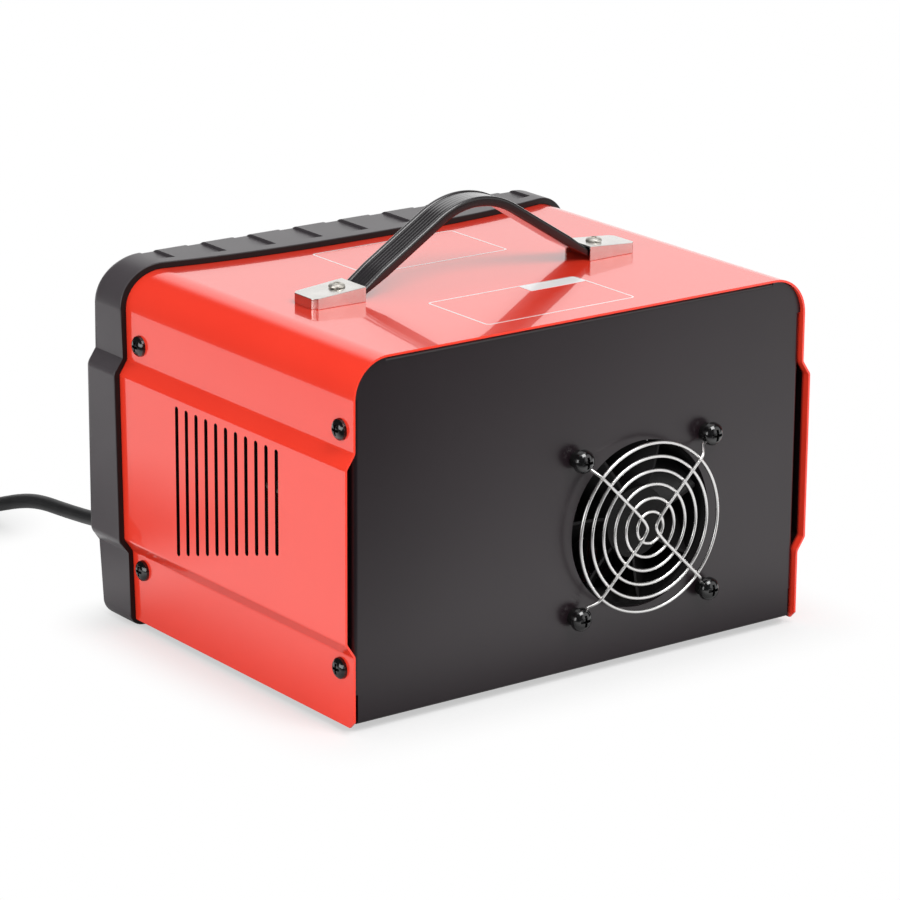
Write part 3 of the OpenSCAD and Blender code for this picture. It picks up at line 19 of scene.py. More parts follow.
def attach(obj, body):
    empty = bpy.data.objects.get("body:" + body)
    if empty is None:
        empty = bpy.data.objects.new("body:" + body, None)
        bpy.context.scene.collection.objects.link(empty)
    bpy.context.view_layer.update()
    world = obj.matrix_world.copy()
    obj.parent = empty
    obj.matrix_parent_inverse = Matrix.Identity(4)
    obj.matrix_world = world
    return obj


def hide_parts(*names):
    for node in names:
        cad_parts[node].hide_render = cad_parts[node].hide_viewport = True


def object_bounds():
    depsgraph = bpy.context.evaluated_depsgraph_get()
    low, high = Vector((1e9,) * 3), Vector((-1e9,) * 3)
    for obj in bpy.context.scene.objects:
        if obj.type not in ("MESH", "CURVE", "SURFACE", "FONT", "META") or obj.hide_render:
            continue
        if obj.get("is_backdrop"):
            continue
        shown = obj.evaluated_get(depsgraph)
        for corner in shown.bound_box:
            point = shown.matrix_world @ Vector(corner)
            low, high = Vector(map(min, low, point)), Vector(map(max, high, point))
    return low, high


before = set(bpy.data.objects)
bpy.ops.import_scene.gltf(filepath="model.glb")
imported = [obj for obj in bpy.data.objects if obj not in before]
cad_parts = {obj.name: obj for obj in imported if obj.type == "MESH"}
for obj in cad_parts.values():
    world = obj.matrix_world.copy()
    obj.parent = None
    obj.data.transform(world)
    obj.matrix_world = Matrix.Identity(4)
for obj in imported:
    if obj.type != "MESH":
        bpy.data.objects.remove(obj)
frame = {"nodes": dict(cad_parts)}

LOG = logging.getLogger("charger")
MM = 0.001
TOP = 163.6  # height of the cover's top
PANEL = -81.175  # Y of the front panel's face

Rgb = tuple[float, float, float]
Point = tuple[float, float, float]
Flat = tuple[float, float]
Box = tuple[Flat, Flat]  # lower and upper corner
Input = Union["Sock", float, Sequence[float]]


# Shader maths


@dataclass(frozen=True)
class Sock:
    """One output of a node tree. Arithmetic on it adds Math nodes to that tree."""

    tree: "Tree"
    link: bpy.types.NodeSocket

    def calc(self, operation: str, *values: Input) -> "Sock":
        """The result of a Math node on these values."""
        return self.tree.node("ShaderNodeMath", {"operation": operation}, dict(enumerate(values)))

    def __add__(self, other: Input) -> "Sock":
        """Sum."""
        return self.calc("ADD", self, other)

    def __radd__(self, other: Input) -> "Sock":
        """Sum with a number on the left."""
        return self.calc("ADD", other, self)

    def __sub__(self, other: Input) -> "Sock":
        """Difference."""
        return self.calc("SUBTRACT", self, other)

    def __rsub__(self, other: Input) -> "Sock":
        """Difference from a number on the left."""
        return self.calc("SUBTRACT", other, self)

    def __mul__(self, other: Input) -> "Sock":
        """Product."""
        return self.calc("MULTIPLY", self, other)

    def __rmul__(self, other: Input) -> "Sock":
        """Product with a number on the left."""
        return self.calc("MULTIPLY", other, self)

    def __pow__(self, other: Input) -> "Sock":
        """Power."""
        return self.calc("POWER", self, other)

    def __rpow__(self, other: Input) -> "Sock":
        """Power of a number on the left."""
        return self.calc("POWER", other, self)

    def __abs__(self) -> "Sock":
        """The value without its sign."""
        return self.calc("ABSOLUTE", self)

    def least(self, other: Input) -> "Sock":
        """The lesser of two values."""
        return self.calc("MINIMUM", self, other)

    def most(self, other: Input) -> "Sock":
        """The greater of two values."""
        return self.calc("MAXIMUM", self, other)

    def step(self, low: float, high: float) -> "Sock":
        """A smooth step from 0 at low to 1 at high."""
        ends = {"Value": self, "From Min": low, "From Max": high}
        return self.tree.node("ShaderNodeMapRange", {"interpolation_type": "SMOOTHSTEP"}, ends)

    def drop(self, low: float, high: float) -> "Sock":
        """A smooth step from 1 at low to 0 at high."""
        return 1.0 - self.step(low, high)


class Tree:
    """The node tree of a new material or of the world."""

    def __init__(self, owner: Union[bpy.types.Material, bpy.types.World]) -> None:
        """Takes the owner's tree and empties it.

        Args:
            owner: A material or world, whose nodes this tree makes.
        """
        owner.use_nodes = True
        self.nodes, self.links = owner.node_tree.nodes, owner.node_tree.links
        self.nodes.clear()

    def node(
        self,
        kind: str,
        settings: Mapping[str, object] = {},
        sockets: Mapping[Union[int, str], Input] = {},
        out: Union[int, str] = 0,
    ) -> Sock:
        """Adds a node: its settings first, then the values or links of its sockets.

        Args:
            kind: The node's type.
            settings: Its properties.
            sockets: Values or links by the input's name or number.
            out: The output to return.

        Returns:
            That output.
        """
        made = self.nodes.new(kind)
        for key, value in settings.items():
            setattr(made, key, value)
        for key, value in sockets.items():
            socket = made.inputs[key]
            if isinstance(value, Sock):
                self.links.new(value.link, socket)
            elif isinstance(value, (int, float)):
                socket.default_value = value
            else:
                alpha = (1.0,) * (len(socket.default_value) - len(value))
                socket.default_value = tuple(value) + alpha
        return Sock(self, made.outputs[out] if made.outputs else None)

    def axes(self, vector: Sock) -> list[Sock]:
        """The X, Y and Z of a vector."""
        split = self.node("ShaderNodeSeparateXYZ", {}, {0: vector}).link.node
        return [Sock(self, output) for output in split.outputs]

    def place(self, stretch: Point = (1.0, 1.0, 1.0)) -> Sock:
        """The point on the piece, in metres, with each axis scaled."""
        here = self.node("ShaderNodeTexCoord", out="Object")
        return self.node("ShaderNodeVectorMath", {"operation": "MULTIPLY"}, {0: here, 1: stretch})

    def normal(self) -> Sock:
        """The way that the surface faces."""
        return self.node("ShaderNodeTexCoord", out="Normal")

    def ray(self, kind: str) -> Sock:
        """1 for rays of a kind, such as Camera or Glossy."""
        return self.node("ShaderNodeLightPath", out=f"Is {kind} Ray")

    def noise(self, size: float, detail: float = 3.0, stretch: Point = (1.0, 1.0, 1.0)) -> Sock:
        """Noise from 0 to 1, with blots of a size and that many octaves."""
        inputs = {"Vector": self.place(stretch), "Scale": 1.0 / (size * MM), "Detail": detail}
        return self.node("ShaderNodeTexNoise", {}, inputs)

    def mix(self, share: Input, first: Input, second: Input) -> Sock:
        """Two colours mixed, by the share of the second."""
        inputs = {0: share, 6: first, 7: second}
        return self.node("ShaderNodeMix", {"data_type": "RGBA"}, inputs, out=2)

    def emission(self, level: float) -> Sock:
        """A grey or white light."""
        return self.node("ShaderNodeEmission", {}, {"Color": (level,) * 3, "Strength": 1.0})


# Finishes


@dataclass(frozen=True)
class Finish:
    """A finish with slight clouds in its colour and gloss and a fine grain in its height."""

    name: str
    base: Rgb
    other: Rgb  # the colour that its clouds lean to
    rough: float
    rough_spread: float = 0.08
    metallic: float = 0.0
    cloud: float = 18.0  # size of the clouds
    grain: float = 0.6  # size of the grain
    height: float = 0.01  # height of the grain
    stretch: Point = (1.0, 1.0, 1.0)  # how much denser the grain is along each axis
    coat: float = 0.0  # share of a clear coat
    coat_rough: float = 0.05
    specular: float = 0.5

    @property
    def label(self) -> str:
        """The material's name in the file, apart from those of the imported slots."""
        return f"finish_{self.name}"

    def tint(self, tree: Tree) -> Sock:
        """The colour over the surface."""
        return tree.mix(tree.noise(self.cloud).step(0.3, 0.7), self.base, self.other)

    def relief(self, tree: Tree) -> Sock:
        """The height over the surface, from 0 to 1."""
        return tree.noise(self.grain, 2.0, self.stretch)

    def gloss(self, tree: Tree) -> Sock:
        """The roughness over the surface."""
        spread = self.rough_spread
        return tree.noise(self.cloud * 0.6, 4.0) * spread + (self.rough - spread / 2)

    def inputs(self, tree: Tree) -> dict[str, Input]:
        """The shader's inputs.

        Args:
            tree: The material's tree.

        Returns:
            Values and links by the input's name.
        """
        bump = {"Height": self.relief(tree), "Distance": self.height * MM}
        return {
            "Base Color": self.tint(tree),
            "Roughness": self.gloss(tree),
            "Normal": tree.node("ShaderNodeBump", {}, bump),
            "Metallic": self.metallic,
            "Coat Weight": self.coat,
            "Coat Roughness": self.coat_rough,
            "Specular IOR Level": self.specular,
        }

    def build(self) -> bpy.types.Material:
        """Makes the material once.

        Returns:
            The material.
        """
        if self.label in bpy.data.materials:
            return bpy.data.materials[self.label]
        material = bpy.data.materials.new(self.label)
        tree = Tree(material)
        shader = tree.node("ShaderNodeBsdfPrincipled", {}, self.inputs(tree))
        tree.node("ShaderNodeOutputMaterial", {}, {"Surface": shader})
        return material


@dataclass(frozen=True)
class Layered(Finish):
    """A finish with fine parallel lines, such as stacked laminations or wound wire."""

    pitch: float = 0.5  # distance between the lines
    along: str = "X"  # the axis across the lines

    def lines(self, tree: Tree) -> Sock:
        """The lines, from 0 to 1.

        Args:
            tree: The material's tree.

        Returns:
            The lines.
        """
        period = 0.314 / (self.pitch * MM)
        inputs = {"Vector": tree.place(), "Scale": period, "Distortion": 0.4, "Detail": 1.0}
        bands = {"wave_type": "BANDS", "bands_direction": self.along}
        return tree.node("ShaderNodeTexWave", bands, inputs, out="Fac")

    def tint(self, tree: Tree) -> Sock:
        """The colour over the surface."""
        return tree.mix(self.lines(tree), self.other, self.base)

    def relief(self, tree: Tree) -> Sock:
        """The height over the surface, from 0 to 1."""
        return self.lines(tree)


@dataclass(frozen=True)
class SheetPaint(Finish):
    """A glossy paint on folded sheet, with painted shade, a dark colour, on its slots' walls and on
    its inside.
    """

    bare: Rgb = (0.01, 0.005, 0.005)  # the colour of the painted shade in the slots and on the inside
    side: float = 118.0  # how far from the middle the sides are
    slots: float = 70.0  # how far from the middle along Y the slots reach
    slots_top: float = 120.0
    rim: float = 92.0  # where the painted shade on the inside ends and the inside turns red again, near the back edge

    def tint(self, tree: Tree) -> Sock:
        """The colour over the surface.

        Args:
            tree: The material's tree.

        Returns:
            The colour.
        """
        (x, y, z), (across, _, up) = tree.axes(tree.place()), tree.axes(tree.normal())
        # Painted shade: the slots' walls and the inside, away from the back edge, take the dark
        # colour.
        wall = abs(x).step(self.side * MM, (self.side + 0.5) * MM) * abs(across).drop(0.3, 0.6)
        wall = wall * abs(y).drop(self.slots * MM, (self.slots + 1.0) * MM)
        wall = wall * z.drop(self.slots_top * MM, (self.slots_top + 2.0) * MM)
        inside = (x * across * -1.0).step(0.03, 0.06) + (up * z * -1.0).step(0.1, 0.12)
        inside = inside * y.drop(self.rim * MM, (self.rim + 2.0) * MM)
        return tree.mix(wall.most(inside).least(1.0), super().tint(tree), self.bare)


@dataclass(frozen=True)
class ShadedPlastic(Finish):
    """A plastic with painted shade on its faces towards +Y, under a lip or a bead: there it is dark
    and its coat is left off.
    """

    shaded: Rgb = (0.010, 0.006, 0.006)  # the painted shade's colour on those faces

    @staticmethod
    def behind(tree: Tree) -> Sock:
        """1 on faces towards +Y, where shade is painted."""
        return tree.axes(tree.normal())[1].step(0.5, 0.9)

    def tint(self, tree: Tree) -> Sock:
        """The colour over the surface."""
        return tree.mix(self.behind(tree), super().tint(tree), self.shaded)

    def inputs(self, tree: Tree) -> dict[str, Input]:
        """The shader's inputs, with the coat left off where the surface is shaded."""
        return super().inputs(tree) | {"Coat Weight": (1.0 - self.behind(tree)) * self.coat}


@dataclass(frozen=True)
class Clear(Finish):
    """A clear moulding."""

    def inputs(self, tree: Tree) -> dict[str, Input]:
        """The shader's inputs."""
        return super().inputs(tree) | {"Transmission Weight": 1.0, "IOR": 1.49}


RED_PAINT = SheetPaint(
    "red_enamel", (0.93, 0.048, 0.023), (0.91, 0.044, 0.021), 0.2, 0.04,
    cloud=60.0, grain=1.4, height=0.004, coat=1.0, coat_rough=0.03, specular=0.3,
)
BLACK_PAINT = Finish(
    "black_enamel", (0.0105, 0.0055, 0.0080), (0.0125, 0.0068, 0.0096), 0.3, 0.05,
    cloud=70.0, grain=0.7, height=0.008, specular=0.75,
)
# Its faces towards +Y, under the lip, carry painted shade.
FRAME_PLASTIC = ShadedPlastic(
    "frame_plastic", (0.056, 0.049, 0.054), (0.063, 0.055, 0.061), 0.5, 0.06,
    cloud=30.0, grain=0.35, height=0.008, specular=0.25, coat=0.55, coat_rough=0.3,
)
BLACK_PLASTIC = Finish(
    "black_plastic", (0.010, 0.010, 0.011), (0.014, 0.014, 0.015), 0.42,
    cloud=14.0, grain=0.3,
)
FAN_PLASTIC = Finish(
    "fan_plastic", (0.004, 0.0036, 0.0038), (0.006, 0.0054, 0.0058), 0.5,
    specular=0.25, cloud=9.0, grain=0.3, height=0.006,
)
GLOSS_BLACK = Finish(
    "gloss_black", (0.010, 0.010, 0.011), (0.014, 0.014, 0.015), 0.16, 0.05,
    cloud=9.0, grain=0.8, height=0.003, coat=0.4,
)
GLOSS_RED = Finish(
    "gloss_red", (0.55, 0.018, 0.012), (0.50, 0.014, 0.010), 0.18, 0.05,
    cloud=9.0, grain=0.8, height=0.003, coat=0.4,
)
WHITE_PLASTIC = Finish(
    "white_plastic", (0.80, 0.80, 0.78), (0.76, 0.76, 0.73), 0.3, 0.06,
    cloud=6.0, grain=0.5, height=0.004,
)
WHITE_INK = Finish(
    "white_ink", (0.92, 0.76, 0.75), (0.88, 0.71, 0.70), 0.25, 0.06,
    cloud=5.0, grain=0.25, height=0.002, coat=1.0,
)
PANEL_INK = Finish(
    "panel_ink", (0.76, 0.76, 0.75), (0.71, 0.71, 0.70), 0.45,
    cloud=5.0, grain=0.25, height=0.002,
)
LABEL_FILM = Finish(
    "label_film", (0.90, 0.90, 0.90), (0.86, 0.86, 0.86), 0.3,
    cloud=7.0, height=0.004, coat=0.5,
)
BLACK_INK = Finish(
    "black_ink", (0.015, 0.015, 0.015), (0.025, 0.025, 0.025), 0.5,
    cloud=4.0, grain=0.2, height=0.003,
)
DIAL_CARD = Finish(
    "dial_card", (0.84, 0.84, 0.81), (0.80, 0.79, 0.75), 0.55,
    cloud=11.0, grain=0.25, height=0.006,
)
CLEAR_WINDOW = Clear(
    "clear_window", (0.97, 0.98, 0.98), (0.95, 0.97, 0.97), 0.05, 0.03,
    cloud=12.0, grain=2.0, height=0.002,
)
GUARD_CHROME = Finish(
    "guard_chrome", (0.93, 0.92, 0.91), (0.88, 0.87, 0.86), 0.28, 0.06, 1.0,
    cloud=5.0, grain=0.8, height=0.003,
)
SOFT_NICKEL = Finish(
    "soft_nickel", (0.80, 0.77, 0.71), (0.74, 0.71, 0.65), 0.46, 0.08, 1.0,
    cloud=3.0, grain=0.5, height=0.003,
)
CAP_METAL = Finish(
    "cap_metal", (0.82, 0.80, 0.77), (0.75, 0.73, 0.70), 0.22, 0.08, 1.0,
    cloud=7.0, grain=0.35, height=0.004, stretch=(0.15, 1.0, 1.0),
)
ZINC = Finish(
    "zinc_plate", (0.60, 0.60, 0.58), (0.52, 0.53, 0.52), 0.32, 0.1, 1.0,
    cloud=2.5, grain=0.4, height=0.005,
)
DARK_SCREW = Finish(
    "dark_screw", (0.004, 0.004, 0.0042), (0.006, 0.006, 0.0064), 0.14, 0.04,
    cloud=3.0, grain=0.5, height=0.003, coat=0.6, specular=0.6,
)
# Its side towards +Y carries painted shade in the colour shaded.
STRAP_VINYL = ShadedPlastic(
    "strap_vinyl", (0.018, 0.016, 0.018), (0.023, 0.020, 0.023), 0.24, 0.06,
    cloud=9.0, grain=0.4, height=0.006, stretch=(0.3, 1.0, 1.0), coat=1.0, coat_rough=0.12,
    specular=0.6, shaded=(0.007, 0.005, 0.0055),
)
LEAD_RUBBER = Finish(
    "lead_rubber", (0.016, 0.016, 0.017), (0.022, 0.022, 0.023), 0.48, 0.1,
    cloud=12.0, grain=0.5, height=0.012,
)
SOFT_RUBBER = Finish(
    "soft_rubber", (0.012, 0.012, 0.013), (0.020, 0.020, 0.020), 0.62, 0.1,
    cloud=6.0, grain=0.35, height=0.02,
)
LAMINATIONS = Layered(
    "laminations", (0.12, 0.12, 0.125), (0.05, 0.045, 0.04), 0.42, 0.1, 0.7,
    cloud=8.0, height=0.05, pitch=0.5, along="X",
)
WOUND_WIRE = Layered(
    "wound_wire", (0.50, 0.20, 0.08), (0.16, 0.05, 0.02), 0.3, 0.08, 0.8,
    cloud=6.0, height=0.3, coat=0.5, pitch=1.2, along="Z",
)
NYLON = Finish(
    "nylon", (0.70, 0.66, 0.54), (0.64, 0.59, 0.47), 0.45,
    cloud=10.0, grain=0.5,
)
SINK_METAL = Finish(
    "sink_metal", (0.72, 0.73, 0.74), (0.66, 0.67, 0.68), 0.34, 0.08, 1.0,
    cloud=9.0, grain=0.3, height=0.006, stretch=(1.0, 0.05, 1.0),
)
GREY_PLASTIC = Finish(
    "grey_plastic", (0.16, 0.16, 0.165), (0.19, 0.19, 0.195), 0.45,
    cloud=8.0, grain=0.3,
)


# Plane geometry


def clamped(value: float) -> float:
    """A value held between 0 and 1."""
    return min(1.0, max(0.0, value))


def round_angles(steps: int) -> list[float]:
    """Angles all the way round, in radians."""
    return [2 * math.pi * k / steps for k in range(steps)]


def quarter(steps: int, radius: float) -> list[Flat]:
    """Insets and depths along a fillet, from the face in front of it to the face beside it."""
    angles = [math.pi / 2 * k / steps for k in range(steps + 1)]
    return [(radius * (1 - math.sin(a)), radius * (1 - math.cos(a))) for a in angles]


def on_panel(x: float, y: float, z: float, side: int) -> Matrix:
    """A frame with +Z out of the front panel, or the back one where side is -1, and +Y up."""
    turn = Matrix(((side, 0, 0), (0, 0, -side), (0, 1, 0))).to_4x4()
    return Matrix.Translation((x, y, z)) @ turn


def turned_left(way: Vector) -> Vector:
    """A flat direction turned to its left by 90 degrees."""
    return Vector((-way.y, way.x))


def rounded_corner(a: Vector, b: Vector, c: Vector, radius: float, chords: int) -> list[Vector]:
    """Points of the corner b of a path through a, b and c.

    Args:
        a: The point before.
        b: The corner.
        c: The point after.
        radius: Its fillet's radius.
        chords: The number of chords in its fillet.

    Returns:
        The fillet's points, or the corner itself where the path is straight.
    """
    to_a, to_c = (a - b).normalized(), (c - b).normalized()
    half = math.acos(max(-1.0, min(1.0, to_a.dot(to_c)))) / 2
    if chords < 1 or half > math.radians(89.9):
        return [b.copy()]
    centre = b + (to_a + to_c).normalized() * radius / math.sin(half)
    start = b + to_a * radius / math.tan(half) - centre
    end = b + to_c * radius / math.tan(half) - centre
    first = math.atan2(start.y, start.x)
    sweep = (math.atan2(end.y, end.x) - first + math.pi) % (2 * math.pi) - math.pi
    angles = [first + sweep * k / chords for k in range(chords + 1)]
    return [centre + radius * Vector((math.cos(w), math.sin(w))) for w in angles]


def rounded(
    points: Sequence[Vector], radii: Sequence[float], chords: Sequence[int], closed: bool = True
) -> list[Vector]:
    """A path with its corners rounded.

    Args:
        points: Its corners.
        radii: A fillet radius for each.
        chords: A number of chords for each.
        closed: Whether the path closes on itself.

    Returns:
        The path's points.
    """
    count, path = len(points), []
    for k, b in enumerate(points):
        if not closed and k in (0, count - 1):
            path.append(b.copy())
        else:
            path += rounded_corner(points[k - 1], b, points[(k + 1) % count], radii[k], chords[k])
    return path


def shifted(points: Sequence[Vector], offset: float) -> list[Vector]:
    """An open path moved to its left.

    Args:
        points: The path's corners.
        offset: The distance.

    Returns:
        The moved corners.
    """
    ways = [turned_left((q - p).normalized()) for p, q in zip(points, points[1:])]
    path = [points[0] + ways[0] * offset]
    for before, after, p in zip(ways, ways[1:], points[1:-1]):
        path.append(p + (before + after) * offset / (1 + before.dot(after)))
    return path + [points[-1] + ways[-1] * offset]


def shifted_radii(points: Sequence[Vector], radii: Sequence[float], offset: float) -> list[float]:
    """Fillet radii of an open path after a move to its left.

    Args:
        points: The path's corners before the move.
        radii: Their radii before the move.
        offset: The distance.

    Returns:
        Tighter radii at left turns and wider ones at right turns.
    """
    moved = [0.0]
    for a, b, c, r in zip(points, points[1:], points[2:], radii[1:]):
        left = (b - a).x * (c - b).y - (b - a).y * (c - b).x > 0
        moved.append(max(r - offset, 0.3) if left else r + offset)
    return moved + [0.0]


def softened(points: Sequence[Point], reach: float, steps: int) -> list[Vector]:
    """A path in space with its corners bent softly.

    Args:
        points: Its corners.
        reach: How far from a corner its bend starts, at most.
        steps: Pieces in each bend.

    Returns:
        The path's points.
    """
    known = [Vector(p) for p in points]
    path = [known[0]]
    for a, b, c in zip(known, known[1:], known[2:]):
        start = b.lerp(a, min(0.5, reach / (a - b).length))
        end = b.lerp(c, min(0.5, reach / (c - b).length))
        bend = [k / steps for k in range(steps + 1)]
        path += [start.lerp(b, t).lerp(b.lerp(end, t), t) for t in bend]
    return path + [known[-1]]


# Meshes


def shown(name: str, data: bpy.types.ID) -> bpy.types.Object:
    """Puts a new object in the scene.

    Args:
        name: Its name.
        data: Its mesh, curve, light or camera.

    Returns:
        The object.
    """
    made = bpy.data.objects.new(name, data)
    bpy.context.scene.collection.objects.link(made)
    return made


class Form:
    """A mesh in the making, from rings of points and from faces between them."""

    def __init__(self) -> None:
        """Starts an empty mesh."""
        self.mesh = bmesh.new()

    def loft(self, rings: Sequence[Sequence[Vector]], cyclic: bool = False) -> "Form":
        """Adds a skin over a row of rings, with closed ends unless it is cyclic.

        Args:
            rings: Rings of as many points each.
            cyclic: Whether the last ring joins the first.

        Returns:
            This form.
        """
        rows = [[self.mesh.verts.new(Vector(p) * MM) for p in ring] for ring in rings]
        count = len(rows[0])
        for low, high in zip(rows, rows[1:] + (rows[:1] if cyclic else [])):
            for k in range(count):
                following = (k + 1) % count
                self.mesh.faces.new((low[k], low[following], high[following], high[k]))
        if not cyclic:
            self.mesh.faces.new(rows[0][::-1])
            self.mesh.faces.new(rows[-1])
        return self

    def tube(
        self, path: Sequence[Vector], radius: float, sides: int, cyclic: bool = False
    ) -> "Form":
        """Adds a round tube along a path.

        Args:
            path: Its middle line.
            radius: Its radius.
            sides: Points in each ring.
            cyclic: Whether it closes on itself.

        Returns:
            This form.
        """
        count, side, rings = len(path), None, []
        middle = sum(path, Vector()) / count
        around = [(math.cos(t), math.sin(t)) for t in round_angles(sides)]
        for k, p in enumerate(path):
            after = path[(k + 1) % count] if cyclic or k < count - 1 else p
            way = (after - (path[k - 1] if cyclic or k > 0 else p)).normalized()
            side = way.orthogonal().normalized() if side is None else side
            side = (side - way * side.dot(way)).normalized()
            up = way.cross(side)
            ring = [p + (side * c + up * s) * radius for c, s in around]
            if cyclic:  # every ring starts at its outermost point, so the ends meet untwisted
                start = max(range(sides), key=lambda j: (ring[j] - middle).length)
                ring = ring[start:] + ring[:start]
            rings.append(ring)
        return self.loft(rings, cyclic)

    def plate(self, outline: Sequence[Flat], heights: Flat, hole: Sequence[Flat] = ()) -> "Form":
        """Adds a flat plate.

        Args:
            outline: Its outline in X and Y.
            heights: The heights of its underside and its top.
            hole: The outline of its hole, of as many points, if it has one.

        Returns:
            This form.
        """
        low, high = heights
        rows = [(hole, low), (hole, high), (outline, high), (outline, low)]
        rows = rows if hole else [(outline, low), (outline, high)]
        return self.loft([[Vector((x, y, z)) for x, y in o] for o, z in rows], bool(hole))

    def ribbon(self, path: Sequence[Flat], width: float, low: float, high: float) -> "Form":
        """Adds a flat open line.

        Args:
            path: Its middle line in X and Y.
            width: Its width.
            low: The height of its underside.
            high: The height of its top.

        Returns:
            This form.
        """
        line = [Vector(p) for p in path]
        ways = [(q - p).normalized() for p, q in zip(line, line[1:])]
        rings = []
        for k, p in enumerate(line):
            way = ways[max(k - 1, 0)] + ways[min(k, len(ways) - 1)]
            side = turned_left(way.normalized() if way.length > 0.2 else ways[k - 1]) * width / 2
            corners = ((p - side, low), (p + side, low), (p + side, high), (p - side, high))
            rings.append([Vector((q.x, q.y, z)) for q, z in corners])
        return self.loft(rings)

    def moved(self, matrix: Matrix) -> "Form":
        """Moves all that has been added so far.

        Args:
            matrix: The move.

        Returns:
            This form.
        """
        scaled = matrix.copy()
        scaled.translation = matrix.translation * MM
        bmesh.ops.transform(self.mesh, matrix=scaled, verts=self.mesh.verts)
        return self

    def ended(self, name: str) -> bpy.types.Object:
        """Ends the mesh.

        Args:
            name: The object's name.

        Returns:
            The object that shows it.
        """
        bmesh.ops.recalc_face_normals(self.mesh, faces=self.mesh.faces)
        data = bpy.data.meshes.new(name)
        self.mesh.to_mesh(data)
        self.mesh.free()
        return shown(name, data)

    def piece(
        self, name: str, finish: Finish, slot: str, replaces: Iterable[str] = (),
        angle: float = 35.0, body: str = "housing",
    ) -> None:
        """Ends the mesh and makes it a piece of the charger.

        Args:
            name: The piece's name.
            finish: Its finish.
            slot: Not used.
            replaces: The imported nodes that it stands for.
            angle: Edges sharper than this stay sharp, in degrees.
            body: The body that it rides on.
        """
        piece = self.ended(name)
        piece.data.shade_smooth()
        piece.data.set_sharp_from_angle(angle=math.radians(angle))
        piece.data.materials.append(finish.build())
        piece.modifiers.new("even_normals", "WEIGHTED_NORMAL").keep_sharp = True
        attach(piece, body)
        if replaces:
            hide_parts(*replaces)
        LOG.info("%s: %d faces on %s", name, len(piece.data.polygons), body)


# Camera, floor and light


@dataclass(frozen=True)
class Lamp:
    """A soft rectangular lamp. Its lengths are in metres."""

    name: str
    place: Point
    size: Flat
    watts: float
    aim: Point = (0.0, 0.0, 0.08)

    def hang(self) -> None:
        """Hangs the lamp, turned to its aim."""
        data = bpy.data.lights.new(self.name, "AREA")
        data.shape = "RECTANGLE"
        data.size, data.size_y = self.size
        data.energy = self.watts
        lamp = shown(self.name, data)
        lamp.location = self.place
        lamp.rotation_mode = "QUATERNION"
        lamp.rotation_quaternion = (Vector(self.aim) - Vector(self.place)).to_track_quat("-Z", "Y")


